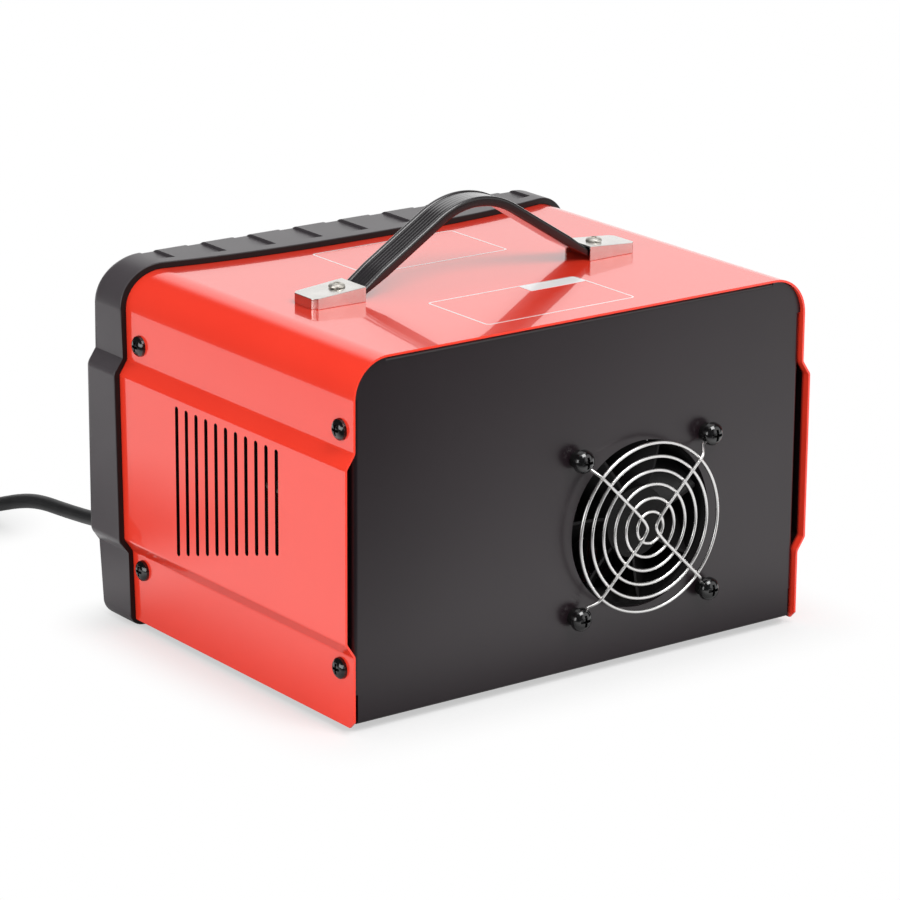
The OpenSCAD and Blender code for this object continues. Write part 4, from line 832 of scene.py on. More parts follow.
@dataclass
class Studio:
    """The photograph's camera, a pale floor and plain soft light."""

    # Camera: its place in metres, its heading, height over the horizon and roll in degrees, and
    # its focal length for the sensor's width
    eye: Point = (1.0377, 1.410125, 0.6175)
    azimuth: float = 143.69
    elevation: float = 17.07
    roll: float = 0.335
    lens: float = 163.46
    sensor: float = 36.0

    # Floor: it keeps a shadow close to what stands or lies on it and is white further off
    floor_half: float = 9000.0
    floor_levels: Flat = (-20.0, -0.02)
    footprints: tuple[Box, ...] = (
        ((-124.0, -78.0), (122.0, 96.0)), ((110.0, -325.0), (190.0, -245.0)),
        ((194.0, -262.0), (206.0, -200.0)),
    )
    near_glow: float = 0.52  # how white it is of itself beside the object
    shadow: Flat = (2.0, 42.0)  # distances where the shadow starts to fade and is gone

    # Floor in gloss: a white sheet that ends a little beyond the object, with a painted shadow
    # beside the object
    near_gloss: float = 0.28  # how white it is beside the object, under the painted shadow
    near_to: float = 85.0  # how far from the object the painted shadow reaches, where the floor is at its whitest
    towards: Flat = (0.10, 0.30)  # where it darkens on its way to +X and +Y, in metres
    edge: Flat = (0.42, 0.46)  # where it ends along X, in metres

    # World: white cards in dark surroundings for gloss, and a dim light on surfaces
    dark: float = 0.03
    panels: tuple[Point, ...] = (
        (-0.566, -0.77, 0.294), (-0.566, 0.77, 0.294), (0.0, 0.0, 1.0),
    )
    panel_span: Flat = (0.80, 0.93)  # cosines of the angles where a card starts and is full
    dim: float = 0.52

    lamps: tuple[Lamp, ...] = (
        Lamp("key", (-0.05, 1.15, 1.65), (1.0, 1.0), 26.0),
        Lamp("side", (2.0, 0.3, 0.45), (1.6, 0.9), 14.0),
    )

    def camera(self) -> None:
        """Places the camera."""
        yaw, pitch, roll = (math.radians(a) for a in (self.azimuth, self.elevation, self.roll))
        out = math.cos(pitch)
        back = Vector((math.sin(yaw) * out, -math.cos(yaw) * out, math.sin(pitch)))
        right = Vector((0.0, 0.0, 1.0)).cross(back).normalized()
        up = back.cross(right)
        turned_right = right * math.cos(roll) + up * math.sin(roll)
        turned_up = up * math.cos(roll) - right * math.sin(roll)
        data = bpy.data.cameras.new("camera")
        data.lens, data.sensor_width = self.lens, self.sensor
        data.clip_start, data.clip_end = 0.01, 50.0
        camera = shown("camera", data)
        basis = Matrix((turned_right, turned_up, back)).transposed()
        camera.matrix_world = Matrix.Translation(self.eye) @ basis.to_4x4()
        bpy.context.scene.camera = camera

    def floor(self) -> None:
        """Lays the floor."""
        half = self.floor_half
        sheet = [(-half, -half), (half, -half), (half, half), (-half, half)]
        floor = Form().plate(sheet, self.floor_levels).ended("floor")
        material = bpy.data.materials.new("floor")
        tree = Tree(material)
        tone = tree.mix(tree.noise(300.0), (0.86,) * 3, (0.88,) * 3)
        paper = tree.node("ShaderNodeBsdfDiffuse", {}, {"Color": tone})
        near = self.nearest(tree)
        clear = near.step(self.shadow[0] * MM, self.shadow[1] * MM)
        share = self.seen(tree) * (clear * (1.0 - self.near_glow) + self.near_glow)
        mixed = tree.node("ShaderNodeMixShader", {}, {0: share, 1: paper, 2: tree.emission(1.0)})
        shade = tree.ray("Glossy") * (1.0 - self.mirrored_floor(tree, near))
        dark = tree.emission(self.dark)
        whole = tree.node("ShaderNodeMixShader", {}, {0: shade, 1: mixed, 2: dark})
        tree.node("ShaderNodeOutputMaterial", {}, {"Surface": whole})
        floor.data.materials.append(material)
        floor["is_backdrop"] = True

    def mirrored_floor(self, tree: Tree, near: Sock) -> Sock:
        """How white the floor is in gloss, with a painted shadow beside the object.

        Args:
            tree: The floor's tree.
            near: The distance from the object in metres.

        Returns:
            The share of white.
        """
        x, y, _ = tree.axes(tree.place())
        ahead = x * -self.panels[0][0] + y * -self.panels[0][1]
        # Painted shadow: the floor in gloss darkens close to the object.
        close = near.step(0.0, self.near_to * MM) * (1.0 - self.near_gloss)
        return (close + self.near_gloss) * (x.drop(*self.edge) * ahead.drop(*self.towards))

    def nearest(self, tree: Tree) -> Sock:
        """The distance from the housing, the lead and its coil.

        Args:
            tree: The floor's tree.

        Returns:
            The distance in metres.
        """
        x, y, _ = tree.axes(tree.place())
        gaps = []
        for (x0, y0), (x1, y1) in self.footprints:
            across, along = self.outside(x, x0, x1), self.outside(y, y0, y1)
            gaps.append((across * across + along * along) ** 0.5)
        nearest = gaps[0]
        for gap in gaps[1:]:
            nearest = nearest.least(gap)
        return nearest

    @staticmethod
    def outside(value: Sock, low: float, high: float) -> Sock:
        """How far a coordinate in metres lies outside a span, or 0 inside it."""
        middle, half = (low + high) / 2 * MM, (high - low) / 2 * MM
        return (abs(value - middle) - half).most(0.0)

    @staticmethod
    def seen(tree: Tree) -> Sock:
        """1 for rays that show the backdrop: those of the camera, gloss and glass."""
        return tree.ray("Camera").most(tree.ray("Glossy")).most(tree.ray("Transmission"))

    def world(self) -> None:
        """Makes the world white to the eye, dim in the light and in gloss dark round its cards."""
        world = bpy.data.worlds.new("world")
        bpy.context.scene.world = world
        tree = Tree(world)
        here, dot = tree.node("ShaderNodeTexCoord", out="Generated"), {"operation": "DOT_PRODUCT"}
        white = [
            tree.node("ShaderNodeVectorMath", dot, {0: here, 1: way}, out=1).step(*self.panel_span)
            for way in self.panels
        ]
        mirrored = sum(white[1:], white[0]) * (1.0 - self.dark) + self.dark
        gloss, seen = tree.ray("Glossy"), self.seen(tree)
        strength = (seen - gloss) + gloss * mirrored + (1.0 - seen) * self.dim
        light = {"Color": (1.0, 1.0, 1.0), "Strength": strength}
        glow = tree.node("ShaderNodeBackground", {}, light)
        tree.node("ShaderNodeOutputWorld", {}, {"Surface": glow})

    def build(self) -> None:
        """Sets up the whole studio."""
        self.camera()
        self.floor()
        self.world()
        for lamp in self.lamps:
            lamp.hang()
        bpy.context.scene.view_settings.view_transform = "Standard"
        LOG.info("studio ready")


# Mains lead


@dataclass
class MainsLead:
    """The free mains lead: from the strain relief to a tied coil, and its tail to the plug."""

    diameter: float = 7.0
    length: float = 1800.0
    route: tuple[Point, ...] = (  # from the strain relief's tip down to the coil
        (100.0, -116.0, 30.0), (100.0, -126.0, 30.0), (100.0, -136.0, 29.0),
        (100.0, -147.0, 27.4), (100.0, -162.0, 25.8), (100.0, -176.0, 24.6),
        (100.0, -190.0, 23.4), (100.0, -202.0, 21.4), (100.0, -214.0, 18.2),
        (100.0, -226.0, 14.2), (100.0, -238.0, 10.0), (100.0, -248.0, 7.0),
        (100.0, -257.0, 5.0), (100.0, -270.0, 3.9),
    )
    tail: tuple[Point, ...] = (  # from the coil to the plug
        (202.4, -261.5, 9.8), (203.4, -250.0, 6.6), (203.7, -239.0, 4.6),
        (202.6, -227.5, 5.6), (200.0, -216.3, 7.0), (196.0, -205.0, 7.0),
    )
    centre: Flat = (150.0, -285.0)  # the coil's middle
    wide: float = 48.7  # radius of its outermost turn
    tight: float = 28.5  # radius of its innermost turn
    low: float = 3.5  # height of the lower layer's middle line
    high: float = 10.7  # height of the upper layer's middle line
    turns: int = 3  # in each layer
    per_turn: int = 24  # points in each turn
    hug: tuple[Flat, ...] = (  # the tying band's inner line, from the coil's middle and the floor
        (30.0, 0.94), (50.2, 0.94), (51.6, 5.0), (51.5, 12.0), (48.5, 14.4), (34.0, 14.4),
        (26.4, 12.9), (24.8, 9.0), (26.0, 4.5),
    )
    hug_r: float = 2.0  # radius of its corners
    band: Flat = (6.0, 0.9)  # the band's width and thickness
    band_edge: float = 0.2  # its chamfers
    band_turn: float = -60.0  # where it crosses the coil, in degrees from +X

    def coil(self) -> list[Point]:
        """The coil: the lower layer inwards, half a turn up, the upper layer outwards.

        Returns:
            The points of the coil's middle line.
        """
        steps, half = self.turns * self.per_turn, self.per_turn // 2
        shrink, climb = (self.wide - self.tight) / steps, self.high - self.low
        rows = [(half + k, self.wide - shrink * k, self.low) for k in range(steps + 1)]
        for k in range(1, half):
            raised = 0.5 - 0.5 * math.cos(math.pi * k / half)
            rows.append((half + k, self.tight, self.low + climb * raised))
        rows += [(k, self.tight + shrink * k, self.high) for k in range(steps + 1)]
        (x, y), turn = self.centre, 2 * math.pi / self.per_turn
        return [(x + r * math.cos(k * turn), y + r * math.sin(k * turn), z) for k, r, z in rows]

    def lay(self) -> None:
        """Makes the lead as one curve."""
        path = [Vector(p) for p in (*self.route, *self.coil(), *self.tail)]
        run = sum((b - a).length for a, b in zip(path, path[1:]))
        LOG.info("mains lead: %.1f mm along its %d points", run, len(path))
        data = bpy.data.curves.new("mains_lead", "CURVE")
        data.dimensions = "3D"
        data.bevel_depth = self.diameter / 2 * MM
        data.bevel_resolution, data.resolution_u = 5, 4
        data.use_fill_caps = True
        knots = data.splines.new("BEZIER").bezier_points
        knots.add(len(path) - 1)
        for knot, p in zip(knots, path):
            knot.co = p * MM
            knot.handle_left_type = knot.handle_right_type = "AUTO"
        data.materials.append(LEAD_RUBBER.build())
        lead = shown("mains_lead", data)
        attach(lead, "housing")
        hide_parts("mains_cord", "mains_coil")

    def tie(self) -> None:
        """Makes the band that hugs the coil's turns."""
        count = len(self.hug)
        line = rounded([Vector(p) for p in self.hug], [self.hug_r] * count, [5] * count)
        w, t, c = self.band[0] / 2, self.band[1], self.band_edge
        section = (
            (-w + c, 0.0), (w - c, 0.0), (w, c), (w, t - c),
            (w - c, t), (-w + c, t), (-w, t - c), (-w, c),
        )
        rings = []
        for k, p in enumerate(line):
            out = -turned_left((line[(k + 1) % len(line)] - line[k - 1]).normalized())
            rings.append([Vector((p.x + out.x * h, s, p.y + out.y * h)) for s, h in section])
        turn = Matrix.Rotation(math.radians(self.band_turn), 4, "Z")
        Form().loft(rings, cyclic=True).moved(
            Matrix.Translation((*self.centre, 0.0)) @ turn
        ).piece("coil_band", BLACK_PLASTIC, "black_plastic", ["coil_tie"], 50.0)

    def build(self) -> None:
        """Makes the band and then the lead."""
        self.tie()
        self.lay()


# Front frame


class Datum(Enum):
    """What a row's depth along Y is measured from."""

    ORIGIN = auto()
    BACK = auto()  # the frame's back edge
    FACE = auto()  # its front face


@dataclass(frozen=True)
class Row:
    """A line round the frame, one point of its section."""

    inset: float  # how far inside the outer face it runs
    datum: Datum
    depth: float
    recessed: bool = False  # whether it dips into the recesses across the top
    lapped: bool = False  # whether it lies against the cover


@dataclass
class FrontFrame:
    """The moulded frame round the front, with soft edges and shallow recesses across its top."""

    # Cover: half its width, its lower edge, its hidden front edge and its pressed bands
    hw: float = 121.75
    floor: float = 3.0
    cover_y: float = -87.175
    band_out: float = 4.2
    band_low: float = 32.0
    band_high: float = 120.8
    band_slope: float = 6.2

    # Frame
    front: float = -103.675
    proud: float = 3.0  # how far it stands out from the cover
    crease_r: float = 2.5  # where it follows the bands
    corner_r: float = 17.5
    foot_r: float = 6.0
    least_r: float = 0.3
    rim: float = 15.5  # width of its face
    wall: float = 2.6
    slip: float = 0.2
    lap: float = 8.5  # how far it laps over the cover
    fillet: float = 5.0  # at its front edge
    lip: float = 0.7  # radius of its back edge

    # Its back edge bows out at the middle and lies further back near the floor; its face leans
    # back near the top and the bottom
    bow: float = 13.0
    bow_power: float = 2.6
    lean: Flat = (1.2, 4.4)
    lean_over: Flat = (60.0, 90.0)
    lean_power: float = 1.6
    top_lean: float = 5.5
    top_reach: Flat = (24.0, 28.0)
    chin_lean: float = 4.0
    chin_reach: float = 35.0

    # Recesses
    grips: int = 9
    grip_pitch: float = 25.0
    grip_w: float = 9.2
    grip_depth: float = 1.3
    grip_stop: float = 7.0  # their ends' distance from the back edge
    grip_slope: float = 0.4  # half the length of an end's slope
    grip_edge: float = 0.25  # width of a side's slope

    @property
    def grip_end(self) -> float:
        """How far from the middle the outermost recess ends, just before the round corner."""
        return self.hw - self.corner_r - 0.1

    def right_side(self) -> list[Vector]:
        """Corners of the cover's section on the right, from the floor to the top.

        Returns:
            The corners in X and Z.
        """
        out, slope = self.hw + self.band_out, self.band_slope
        low, high = self.floor + self.band_low, self.floor + self.band_high
        corners = (
            (self.hw, 0.0), (self.hw, low), (out, low + slope),
            (out, high - slope), (self.hw, high), (self.hw, TOP),
        )
        return [Vector(p) for p in corners]

    def top_xs(self) -> list[float]:
        """Places of the points along the top.

        Returns:
            Their X, from the right to the middle.
        """
        xs = {0.0, self.grip_end, self.grip_end - self.grip_edge}
        for k in range((self.grips + 1) // 2):
            middle = k * self.grip_pitch
            xs.add(middle + self.grip_pitch / 2)
            for edge in (middle - self.grip_w / 2, middle + self.grip_w / 2):
                xs |= {edge - self.grip_edge, edge, edge + self.grip_edge}
        return sorted((x for x in xs if 0.0 <= x < self.hw - self.corner_r), reverse=True)

    def line(self) -> tuple[list[Vector], list[float], list[int]]:
        """The cover's section from foot to foot over the top.

        Returns:
            Its corners in X and Z, their fillets' radii and the chords in them.
        """
        tops = [Vector((x, TOP)) for x in self.top_xs()]
        right = self.right_side() + tops
        radii = [self.foot_r] + [self.crease_r] * 4 + [self.corner_r] + [1.0] * len(tops)
        chords = [8] + [5] * 4 + [20] + [0] * len(tops)
        points = right + [Vector((-p.x, p.y)) for p in right[-2::-1]]
        return points, radii + radii[-2::-1], chords + chords[-2::-1]

    def outline(self, row: Row, below: int = 23) -> list[Vector]:
        """One line round the frame, closed under the panel.

        Args:
            row: Its row.
            below: Points along its lowest run.

        Returns:
            Its points in X and Z.
        """
        points, radii, chords = self.line()
        offset = row.inset - self.proud
        moved, turned = shifted(points, offset), shifted_radii(points, radii, offset)
        low = self.floor - self.slip if row.lapped else row.inset
        foot = 0.0 if row.lapped else self.foot_r - row.inset
        moved[0].y = moved[-1].y = low
        turned[0] = turned[-1] = max(foot, self.least_r)
        for k in range(1, below + 1):
            moved.append(Vector((self.hw * (2 * k / (below + 1) - 1) * 0.9, low)))
        return rounded(moved, turned + [1.0] * below, chords + [0] * below)

    def back(self, p: Vector) -> float:
        """The Y of the back edge.

        Args:
            p: A point in X and Z.

        Returns:
            The back edge there.
        """
        bowed = self.bow * (1 - min(1.0, abs(p.x) / self.hw) ** self.bow_power)
        low = clamped(1 - p.y / self.lean_over[1]) ** self.lean_power
        leant = self.lean[0] * clamped((TOP - p.y) / self.lean_over[0])
        return self.cover_y + self.lap + bowed + (self.lean[1] - self.lean[0]) * low + leant

    def face(self, z: float) -> float:
        """The Y of the front face at a height.

        Args:
            z: The height.

        Returns:
            The face there.
        """
        start, reach = self.top_reach
        upper = clamped((z - TOP + start) / reach) ** 2
        lower = clamped((self.chin_reach - z) / self.chin_reach) ** 2
        return self.front + self.top_lean * upper + self.chin_lean * lower

    def sunk(self, p: Vector) -> float:
        """The height of a point on the top, lowered in a recess.

        Args:
            p: The point in X and Z.

        Returns:
            Its height.
        """
        limit = TOP + self.proud - self.grip_depth
        nearest = round(p.x / self.grip_pitch) * self.grip_pitch
        if abs(nearest) > (self.grips - 1) / 2 * self.grip_pitch + 0.1:
            return p.y
        depth = (self.grip_w / 2 + self.grip_edge / 2 - abs(p.x - nearest)) / self.grip_edge
        before = (self.grip_end - abs(p.x)) / self.grip_edge
        return p.y - max(0.0, p.y - limit) * clamped(min(depth, before))

    def rows(self) -> list[Row]:
        """The section, from where it laps over the cover, over the front and back inside.

        Returns:
            Its rows.
        """
        origin, back, face = Datum
        r, rim, wall, lapped = self.fillet, self.rim, self.wall, self.proud - self.slip
        rows = [Row(lapped, back, 0.0, lapped=True)]
        rows += [Row(inset, back, -depth) for inset, depth in quarter(4, self.lip)]
        rows.append(Row(0.0, back, self.grip_slope - self.grip_stop))
        rows.append(Row(0.0, back, -self.grip_slope - self.grip_stop, recessed=True))
        rows += [Row(inset, face, depth, recessed=True) for inset, depth in quarter(10, r)[::-1]]
        rows += [Row(rim - 1.5, face, 0.0), Row(rim - 0.44, face, 0.44), Row(rim, face, 1.5)]
        return rows + [
            Row(rim, origin, PANEL),
            Row(rim - wall, origin, PANEL),
            Row(rim - wall, face, wall + 1.0),
            Row(r, face, wall),
            Row(wall, face, r + 1.0),
            Row(wall, origin, self.cover_y - 3.0),
            Row(lapped, origin, self.cover_y - 1.5, lapped=True),
        ]

    def build(self) -> None:
        """Makes the frame."""
        rings = []
        for row in self.rows():
            ring = []
            for p in self.outline(row):
                datum = {Datum.BACK: self.back(p), Datum.FACE: self.face(p.y)}.get(row.datum, 0.0)
                ring.append(Vector((p.x, datum + row.depth, self.sunk(p) if row.recessed else p.y)))
            rings.append(ring)
        Form().loft(rings, cyclic=True).piece(
            "front_surround", FRAME_PLASTIC, "frame_plastic", ["front_frame"], 40.0
        )


# Fan guard


@dataclass
class FanGuard:
    """The wire guard: concentric rings, two bent spokes and an eye under each screw."""

    middle: Flat = (-31.9, 64.6)  # the fan's axis in X and Z
    panel_y: float = 94.925  # the back panel's face
    wire: float = 1.5
    sides: int = 12  # of a wire
    rings: int = 6
    first: float = 7.1  # the smallest ring's radius
    pitch: float = 6.2
    stand: float = 6.7  # distance of the rings' plane from the panel
    split: float = 2.3  # distance of each spoke's bend from the middle
    screw_pitch: float = 71.5
    eye: float = 3.05
    head: float = 10.6  # diameter of a screw's head
    weld: float = 0.26  # how far a spoke sinks into the rings
    spacer: float = 2.7  # height of the bush under an eye

    def ring(
        self, form: Form, radius: float, height: float, steps: int, about: Flat = (0.0, 0.0)
    ) -> None:
        """Adds a ring of wire.

        Args:
            form: The mesh that it joins.
            radius: Its radius.
            height: Its distance from the panel.
            steps: How many points it has.
            about: Its middle.
        """
        x, y = about
        path = [
            Vector((x + radius * math.cos(t), y + radius * math.sin(t), height))
            for t in round_angles(steps)
        ]
        form.tube(path, self.wire / 2, self.sides, cyclic=True)

    def spoke(self, side: int) -> list[Vector]:
        """A spoke's middle line, bent at the middle and down to an eye at each end.

        Args:
            side: 1 or -1, for the side of the middle on which it bends.

        Returns:
            The line's points.
        """
        out = Vector((side, 1)).normalized()
        far = self.screw_pitch / 2 * math.sqrt(2)
        high, low = self.stand + self.wire - self.weld, self.spacer + self.wire / 2
        last, bend = self.first + (self.rings - 1) * self.pitch, side * self.split
        straight = (
            (far - self.eye, low), (far - (self.head + self.wire) / 2, low),
            (last + 4.2, low + (high - low) * 0.5), (last + 2.2, high - 0.5),
            (last + 0.2, high), (last * 0.6, high), (last * 0.3, high),
        )
        half = [(out.x * distance, out.y * distance, z) for distance, z in straight]
        half += [(bend + side * 2.1, 3.9, high), (bend + side * 0.6, 1.7, high), (bend, 0.0, high)]
        return softened(half + [(x, -y, z) for x, y, z in half[-2::-1]], 1.2, 4)

    def build(self) -> None:
        """Makes the guard."""
        form, half = Form(), self.screw_pitch / 2
        for k in range(self.rings):
            self.ring(form, self.first + k * self.pitch, self.stand, 72 + 12 * k)
        for side in (-1, 1):
            form.tube(self.spoke(side), self.wire / 2, self.sides)
        for x in (-half, half):
            for y in (-half, half):
                self.ring(form, self.eye, self.spacer + self.wire / 2, 40, (x, y))
        x, z = self.middle
        form.moved(on_panel(x, self.panel_y, z, -1)).piece(
            "guard_wires", GUARD_CHROME, "bright_steel", ["fan_guard"], 80.0
        )


# Handle


@dataclass
class HandleStrap:
    """The ribbed strap of the handle, flattened where it enters its two caps."""

    x: float = 3.0  # sideways place of its middle
    y: float = 14.625
    width: float = 15.5
    thick: float = 4.6  # over the beads along its edges
    bead: float = 1.2  # a bead's radius
    inner: float = 2.6  # distance of the ribbed middle from the edges
    dip: float = 0.62  # how far it lies under the beads
    ridges: int = 5
    ridge: float = 0.06
    slope: float = 32.0  # slope of its flanks in degrees
    peak: float = 36.3  # radius of its middle line at the peak
    knee: float = 3.0  # distance of its lower bends from the caps' mouths
    knee_r: float = 10.0
    thin: float = 0.62  # share of its thickness in the caps
    gap: float = 0.3  # under it in the caps
    slip: float = 0.2
    mouth: float = 61.0  # distance of the caps' mouths from the middle
    cap: float = 26.5  # length of a cap
    cap_wall: float = 0.9
    cap_bevel: float = 2.0
    cap_w: float = 18.4
    cap_end_w: float = 17.0

    def line(self) -> list[Vector]:
        """The strap's middle line.

        Returns:
            Its points in X and Z, from the right end to the left end.
        """
        seat = TOP + self.gap + self.thick * self.thin / 2
        end = self.mouth + self.cap - self.cap_wall - self.cap_bevel - self.slip
        knee = self.mouth + self.knee
        height = seat + knee * math.tan(math.radians(self.slope))
        corners = ((end, seat), (knee, seat), (0.0, height), (-knee, seat), (-end, seat))
        radii = [0.0, self.knee_r, self.peak, self.knee_r, 0.0]
        path = rounded([Vector(p) for p in corners], radii, [0, 10, 40, 10, 0], closed=False)
        dense = []
        for a, b in zip(path, path[1:]):
            pieces = max(1, round((b - a).length / 2.0))
            dense += [a.lerp(b, k / pieces) for k in range(pieces)]
        return dense + [path[-1]]

    def section(self) -> list[Flat]:
        """The strap's section: flat below, a bead along each edge and soft ridges between.

        Returns:
            Its points, sideways and up.
        """
        w, t, r = self.width / 2, self.thick / 2, self.bead
        points = [(-w + 0.9, -t), (w - 0.9, -t), (w - 0.25, -t + 0.3), (w, -t + 1.0), (w, t - 1.3)]
        for k in range(7):
            a = math.radians(30 * k)
            points.append((w - r + r * math.cos(a), t - r + r * math.sin(a)))
        count, inner = self.ridges * 8, w - self.inner
        for k in range(count + 1):
            wave = 0.5 - 0.5 * math.cos(2 * math.pi * self.ridges * k / count)
            points.append((inner * (1 - 2 * k / count), t - self.dip + self.ridge * wave))
        return points + [(-x, z) for x, z in points[11:2:-1]] + [(-w + 0.25, -t + 0.3)]

    def scale(self, x: float) -> float:
        """The thickness's share at a distance from the middle."""
        return self.thin + (1 - self.thin) * clamped((self.mouth - 1 - abs(x)) / 10)

    def squeeze(self, x: float) -> float:
        """The width's share that fits in a cap.

        Args:
            x: The distance from the middle.

        Returns:
            The share.
        """
        k = max(0.0, abs(x) - self.mouth) / (self.cap - self.cap_bevel)
        room = (self.cap_w + (self.cap_end_w - self.cap_w) * k) / 2 - self.cap_wall - self.slip
        return min(1.0, room / (self.width / 2))

    def build(self) -> None:
        """Makes the strap."""
        line, section, rings = self.line(), self.section(), []
        for k, p in enumerate(line):
            way = (line[min(k + 1, len(line) - 1)] - line[max(k - 1, 0)]).normalized()
            up, squeeze = -turned_left(way) * self.scale(p.x), self.squeeze(p.x)
            rings.append([
                Vector((self.x + p.x + up.x * h, self.y + s * squeeze, p.y + up.y * h))
                for s, h in section
            ])
        Form().loft(rings).piece(
            "grip_strap", STRAP_VINYL, "strap_vinyl", ["handle_strap"], 50.0
        )


# Plain marks


@dataclass
class TopMarks:
    """Two bare printed outlines and a blank label on the cover's top."""

    boxes: tuple[Box, ...] = (((-41.0, -58.0), (37.0, -14.0)), ((-36.0, 40.0), (44.0, 84.0)))
    line: float = 0.9
    radius: float = 2.5
    ink: Flat = (TOP + 0.005, TOP + 0.05)  # heights of the ink's underside and top
    label: Box = ((-35.0, 41.0), (-5.0, 50.0))
    label_radius: float = 0.8
    film: Flat = (TOP + 0.01, TOP + 0.12)  # the same of the label

    @staticmethod
    def box(low: Flat, high: Flat, inset: float, radius: float) -> list[Flat]:
        """A rectangle with rounded corners.

        Args:
            low: Its lower corner.
            high: Its upper corner.
            inset: How far it is drawn in.
            radius: Its corners' radius.

        Returns:
            Its points.
        """
        x0, y0, x1, y1 = low[0] + inset, low[1] + inset, high[0] - inset, high[1] - inset
        corners = [Vector(p) for p in ((x0, y0), (x1, y0), (x1, y1), (x0, y1))]
        path = rounded(corners, [max(radius - inset, 0.05)] * 4, [6] * 4)
        return [(p.x, p.y) for p in path]

    def build(self) -> None:
        """Makes the outlines and the label."""
        form = Form()
        for box in self.boxes:
            outer, inner = (self.box(*box, inset, self.radius) for inset in (0.0, self.line))
            form.plate(outer, self.ink, hole=inner)
        form.piece("printed_outlines", WHITE_INK, "white_plastic")
        label = self.box(*self.label, 0.0, self.label_radius)
        Form().plate(label, self.film).piece("blank_label", LABEL_FILM, "white_plastic")


DIGITS: Mapping[str, tuple[Flat, ...]] = {
    "0": ((0.5, 1.6), (0.15, 1.5), (0.0, 1.1), (0.0, 0.5), (0.15, 0.1), (0.5, 0.0),
          (0.85, 0.1), (1.0, 0.5), (1.0, 1.1), (0.85, 1.5), (0.5, 1.6)),
    "1": ((0.2, 1.25), (0.6, 1.6), (0.6, 0.0)),
    "2": ((0.0, 1.25), (0.15, 1.52), (0.5, 1.6), (0.85, 1.5), (0.98, 1.2), (0.8, 0.8),
          (0.05, 0.05), (1.0, 0.05)),
    "3": ((0.05, 1.45), (0.4, 1.6), (0.8, 1.5), (0.92, 1.2), (0.75, 0.93), (0.45, 0.85),
          (0.8, 0.76), (1.0, 0.45), (0.85, 0.1), (0.45, 0.0), (0.02, 0.15)),
    "4": ((0.75, 0.0), (0.75, 1.6), (0.0, 0.5), (1.0, 0.5)),
    "5": ((0.92, 1.6), (0.15, 1.6), (0.08, 0.9), (0.5, 1.0), (0.88, 0.85), (1.0, 0.5),
          (0.85, 0.12), (0.45, 0.0), (0.02, 0.12)),
    "6": ((0.85, 1.5), (0.5, 1.6), (0.15, 1.35), (0.0, 0.6), (0.1, 0.15), (0.5, 0.0),
          (0.88, 0.12), (1.0, 0.48), (0.85, 0.85), (0.5, 0.95), (0.12, 0.8), (0.02, 0.5)),
    "8": ((0.5, 0.86), (0.12, 1.0), (0.08, 1.4), (0.5, 1.6), (0.92, 1.4), (0.88, 1.0),
          (0.5, 0.86), (0.05, 0.65), (0.0, 0.25), (0.5, 0.0), (1.0, 0.25), (0.95, 0.65),
          (0.5, 0.86)),
}


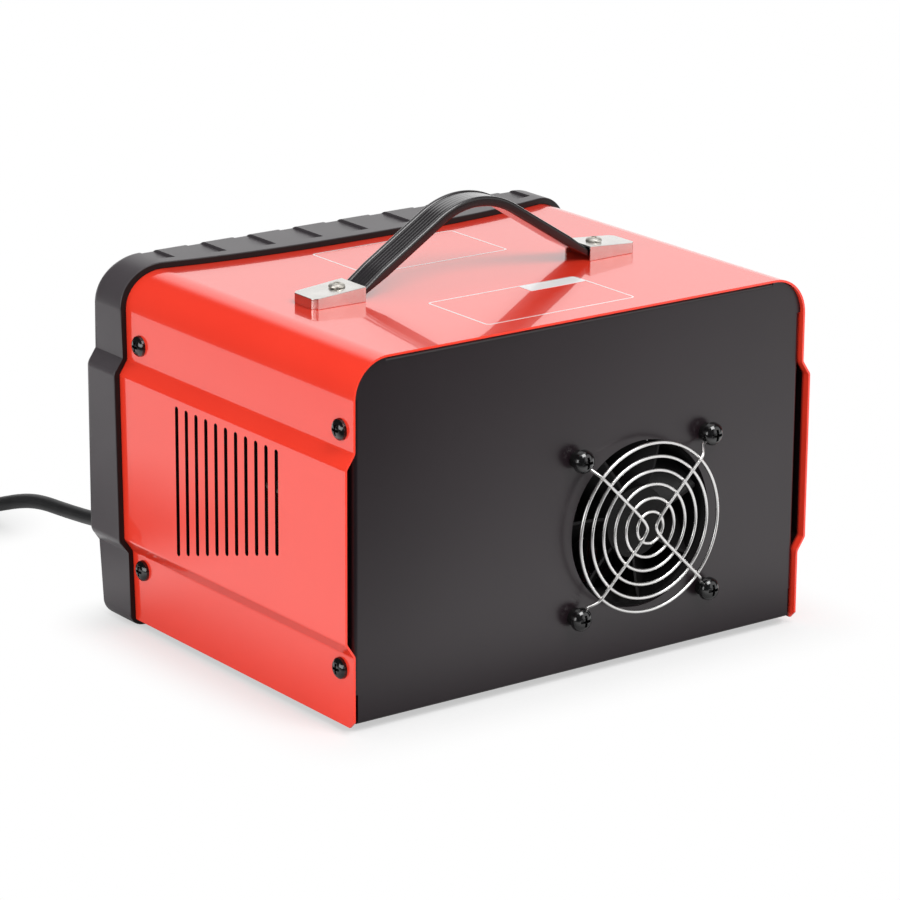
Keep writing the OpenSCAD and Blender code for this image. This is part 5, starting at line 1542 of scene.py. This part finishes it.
@dataclass
class FrontMarks:
    """Plain scales of the ammeter and the selector, and on and off marks at the rockers."""

    ink: float = 0.04  # thickness of all marks
    digit: float = 1.9  # width of a digit
    digit_pitch: float = 1.45  # distance between digits, in digits
    digit_line: float = 0.23  # its line's width, in digits

    meter: Flat = (0.0, 99.0)  # the needle's pivot in X and Z
    dial: float = 3.8  # height of the dial's card over the panel
    scale: Flat = (28.8, 31.4)  # radii of the ticks
    numbers: float = 34.4  # radius of the numbers
    swing: float = 45.0  # the scale's ends, to each side of straight up
    arc_line: float = 0.5
    tick: float = 0.45
    long_tick: float = 0.7

    selector: Flat = (-22.0, 53.0)  # its middle in X and Z
    ring: Flat = (18.8, 21.4)  # radii of the ticks
    first: float = 120.0  # place of the tick at 0
    ring_pitch: float = 40.0
    ring_tick: float = 0.8
    ring_numbers: float = 24.8
    ring_digit: float = 1.2  # the numbers' size beside the ammeter's
    rib: Flat = (5.0, 12.4)  # radii between which the knob's rib carries a line
    rib_top: float = 16.8
    rib_line: float = 1.1

    rockers: tuple[Flat, ...] = ((-78.0, 115.0), (78.0, 115.0))  # their middles in X and Z
    mark: float = 21.0  # distance of an on or off mark from a rocker's middle
    mark_r: float = 2.0  # half a mark's height
    mark_line: Flat = (0.8, 0.7)

    @staticmethod
    def polar(radius: float, degrees: float) -> Flat:
        """A point at a radius, turned left from straight up."""
        a = math.radians(degrees)
        return (-radius * math.sin(a), radius * math.cos(a))

    def stroke(self, form: Form, path: Sequence[Flat], width: float, level: float = 0.0) -> None:
        """Draws a line on a surface at a height over the panel."""
        form.ribbon(path, width, level, level + self.ink)

    @staticmethod
    def end(
        form: Form, middle: Flat, name: str, finish: Finish = PANEL_INK,
        slot: str = "white_plastic", body: str = "housing",
    ) -> None:
        """Puts marks in their place on the panel and makes them a piece."""
        x, z = middle
        form.moved(on_panel(x, PANEL, z, 1)).piece(name, finish, slot, body=body)

    def number(
        self, form: Form, word: str, radius: float, degrees: float, size: float, level: float
    ) -> None:
        """Draws a number whose middle lies on a circle.

        Args:
            form: The mesh that it joins.
            word: Its digits.
            radius: The circle's radius.
            degrees: Its place, turned left from straight up.
            size: The width of a digit.
            level: The height of the surface.
        """
        x, y = self.polar(radius, degrees)
        pitch = size * self.digit_pitch
        start = x - (pitch * (len(word) - 1) + size) / 2
        for k, digit in enumerate(word):
            path = [(start + k * pitch + u * size, y + (v - 0.8) * size) for u, v in DIGITS[digit]]
            self.stroke(form, path, size * self.digit_line, level)

    def meter_marks(self) -> None:
        """Makes the ammeter's scale: 20 steps with a longer tick and a number at every fourth."""
        form, (low, high), step = Form(), self.scale, self.swing / 24
        arc = [self.polar(low, self.swing - step * k) for k in range(49)]
        self.stroke(form, arc, self.arc_line, self.dial)
        for k in range(21):
            a = self.swing - self.swing / 10 * k
            end, width = ((low + high) / 2, self.tick) if k % 4 else (high, self.long_tick)
            self.stroke(form, [self.polar(low, a), self.polar(end, a)], width, self.dial)
            if k % 4 == 0:
                self.number(form, str(k // 2), self.numbers, a, self.digit, self.dial)
        self.end(form, self.meter, "ammeter_scale", BLACK_INK, "black_plastic")

    def selector_marks(self) -> None:
        """Makes the selector's scale and the line on its knob."""
        form = Form()
        for k in range(7):
            a = self.first - self.ring_pitch * k
            self.stroke(form, [self.polar(r, a) for r in self.ring], self.ring_tick)
            self.number(form, str(k), self.ring_numbers, a, self.digit * self.ring_digit, 0.0)
        self.end(form, self.selector, "selector_scale")
        rib = [self.polar(r, self.first) for r in self.rib]
        form = Form().ribbon(rib, self.rib_line, self.rib_top - 0.01, self.rib_top + self.ink)
        self.end(form, self.selector, "knob_line", body="selector")

    def rocker_marks(self) -> None:
        """Makes a bar over each rocker and a ring under it."""
        for name, middle in zip(("left", "right"), self.rockers):
            form = Form()
            bar = [(0.0, self.mark - self.mark_r), (0.0, self.mark + self.mark_r)]
            self.stroke(form, bar, self.mark_line[0])
            ring = [self.polar(self.mark_r, 15.0 * k) for k in range(25)]
            self.stroke(form, [(x, y - self.mark) for x, y in ring], self.mark_line[1])
            self.end(form, middle, f"rocker_marks_{name}")

    def build(self) -> None:
        """Makes all marks."""
        self.meter_marks()
        self.selector_marks()
        self.rocker_marks()


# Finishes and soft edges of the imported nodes


class Edge(Enum):
    """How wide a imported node's edges are rounded."""

    HAIR = 0.08
    FINE = 0.18
    SHEET = 0.3
    MOULDED = 0.5


@dataclass(frozen=True)
class Dress:
    """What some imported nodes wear."""

    finish: Finish
    edge: Edge
    nodes: tuple[str, ...]


WARDROBE = (
    Dress(RED_PAINT, Edge.SHEET, ("top_cover",)),
    Dress(BLACK_PAINT, Edge.SHEET, ("chassis_tray", "front_panel")),
    Dress(DARK_SCREW, Edge.FINE, ("side_screws", "fan_screws")),
    Dress(SOFT_RUBBER, Edge.FINE, (
        "rear_foot_left", "rear_foot_right", "output_grommet_outer", "output_grommet_inner",
        "mains_relief", "mains_plug",
    )),
    Dress(FAN_PLASTIC, Edge.FINE, ("fan_frame", "fan_impeller", "guard_spacers")),
    Dress(CAP_METAL, Edge.SHEET, ("handle_cap_left", "handle_cap_right")),
    Dress(SOFT_NICKEL, Edge.FINE, ("handle_screws", "plug_pins")),
    Dress(ZINC, Edge.FINE, (
        "frame_screws", "foot_screws", "handle_nuts", "selector_nut", "selector_shaft",
        "breaker_nut", "transformer_bracket", "transformer_screws", "rectifier_diodes",
        "terminal_screws",
    )),
    Dress(BLACK_PLASTIC, Edge.SHEET, (
        "ammeter_body", "power_rocker_frame", "mode_rocker_frame", "selector_switch",
        "selector_knob", "breaker_body",
    )),
    Dress(DIAL_CARD, Edge.HAIR, ("ammeter_dial",)),
    Dress(BLACK_INK, Edge.HAIR, ("ammeter_needle",)),
    Dress(CLEAR_WINDOW, Edge.FINE, ("ammeter_lens",)),
    Dress(GLOSS_RED, Edge.MOULDED, ("power_rocker",)),
    Dress(GLOSS_BLACK, Edge.MOULDED, ("mode_rocker",)),
    Dress(WHITE_PLASTIC, Edge.FINE, ("breaker_button",)),
    Dress(LAMINATIONS, Edge.FINE, ("transformer_core",)),
    Dress(NYLON, Edge.FINE, ("transformer_bobbin", "heat_sink_standoffs")),
    Dress(WOUND_WIRE, Edge.MOULDED, ("transformer_winding",)),
    Dress(SINK_METAL, Edge.FINE, ("heat_sink",)),
    Dress(GREY_PLASTIC, Edge.FINE, ("terminal_block",)),
)


@dataclass
class Dresser:
    """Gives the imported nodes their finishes, soft edges and even normals."""

    nodes: Mapping[str, bpy.types.Object]
    weld: float = 0.002
    flat_below: float = 0.5  # faces that meet below this angle become one
    smooth_below: float = 30.0  # edges below this angle are shaded smooth
    round_above: float = 38.0  # edges above this angle are rounded

    def smoother(self) -> bpy.types.NodeTree:
        """A geometry group that shades smooth between faces that meet below an angle.

        Returns:
            The group.
        """
        group = bpy.data.node_groups.new("smooth_below_angle", "GeometryNodeTree")
        for way in ("INPUT", "OUTPUT"):
            group.interface.new_socket("Geometry", in_out=way, socket_type="NodeSocketGeometry")
        new, link = group.nodes.new, group.links.new
        start, end = new("NodeGroupInput"), new("NodeGroupOutput")
        bare = new("GeometryNodeRemoveAttribute")
        bare.inputs["Name"].default_value = "custom_normal"
        faces, edges = new("GeometryNodeSetShadeSmooth"), new("GeometryNodeSetShadeSmooth")
        faces.domain, edges.domain = "FACE", "EDGE"
        faces.inputs["Shade Smooth"].default_value = True
        edges.inputs["Shade Smooth"].default_value = False
        bend, sharp = new("GeometryNodeInputMeshEdgeAngle"), new("FunctionNodeCompare")
        sharp.operation = "GREATER_THAN"
        sharp.inputs[1].default_value = math.radians(self.smooth_below)
        for before, after in ((start, bare), (bare, faces), (faces, edges), (edges, end)):
            link(before.outputs[0], after.inputs[0])
        link(bend.outputs["Unsigned Angle"], sharp.inputs[0])
        link(sharp.outputs[0], edges.inputs["Selection"])
        return group

    def dress(self, name: str, wear: Dress, smoother: bpy.types.NodeTree) -> None:
        """Dresses one node.

        Args:
            name: The node.
            wear: Its finish and edges.
            smoother: The group that smooths it.
        """
        node = self.nodes[name]
        node.data.materials.clear()
        node.data.materials.append(wear.finish.build())
        node.visible_shadow = not isinstance(wear.finish, Clear)
        add = node.modifiers.new
        add("weld", "WELD").merge_threshold = self.weld * MM
        flat = add("whole_faces", "DECIMATE")
        flat.decimate_type = "DISSOLVE"
        flat.angle_limit = math.radians(self.flat_below)
        bevel = add("soft_edges", "BEVEL")
        bevel.width = wear.edge.value * MM
        bevel.segments = 2
        bevel.limit_method = "ANGLE"
        bevel.angle_limit = math.radians(self.round_above)
        bevel.use_clamp_overlap = True
        add("smooth", "NODES").node_group = smoother
        add("even_normals", "WEIGHTED_NORMAL").keep_sharp = True

    def build(self) -> None:
        """Dresses the nodes in the wardrobe and logs the shown nodes that are left bare."""
        smoother, worn = self.smoother(), set()
        for wear in WARDROBE:
            for name in wear.nodes:
                self.dress(name, wear, smoother)
                worn.add(name)
        bare = sorted(n for n, o in self.nodes.items() if n not in worn and not o.hide_render)
        LOG.info("dressed %d nodes; bare: %s", len(worn), bare)


def corners() -> list[list[float]]:
    """The shown object's box, as two plain lists."""
    return [list(c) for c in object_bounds()]


def main() -> None:
    """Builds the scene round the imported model."""
    logging.basicConfig(level=logging.INFO, format="%(name)s: %(message)s")
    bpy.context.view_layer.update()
    for part in (
        Studio(), MainsLead(), FrontFrame(), FanGuard(), HandleStrap(), TopMarks(), FrontMarks(),
        Dresser(frame["nodes"]),
    ):
        part.build()


if __name__ == "__main__":
    main()
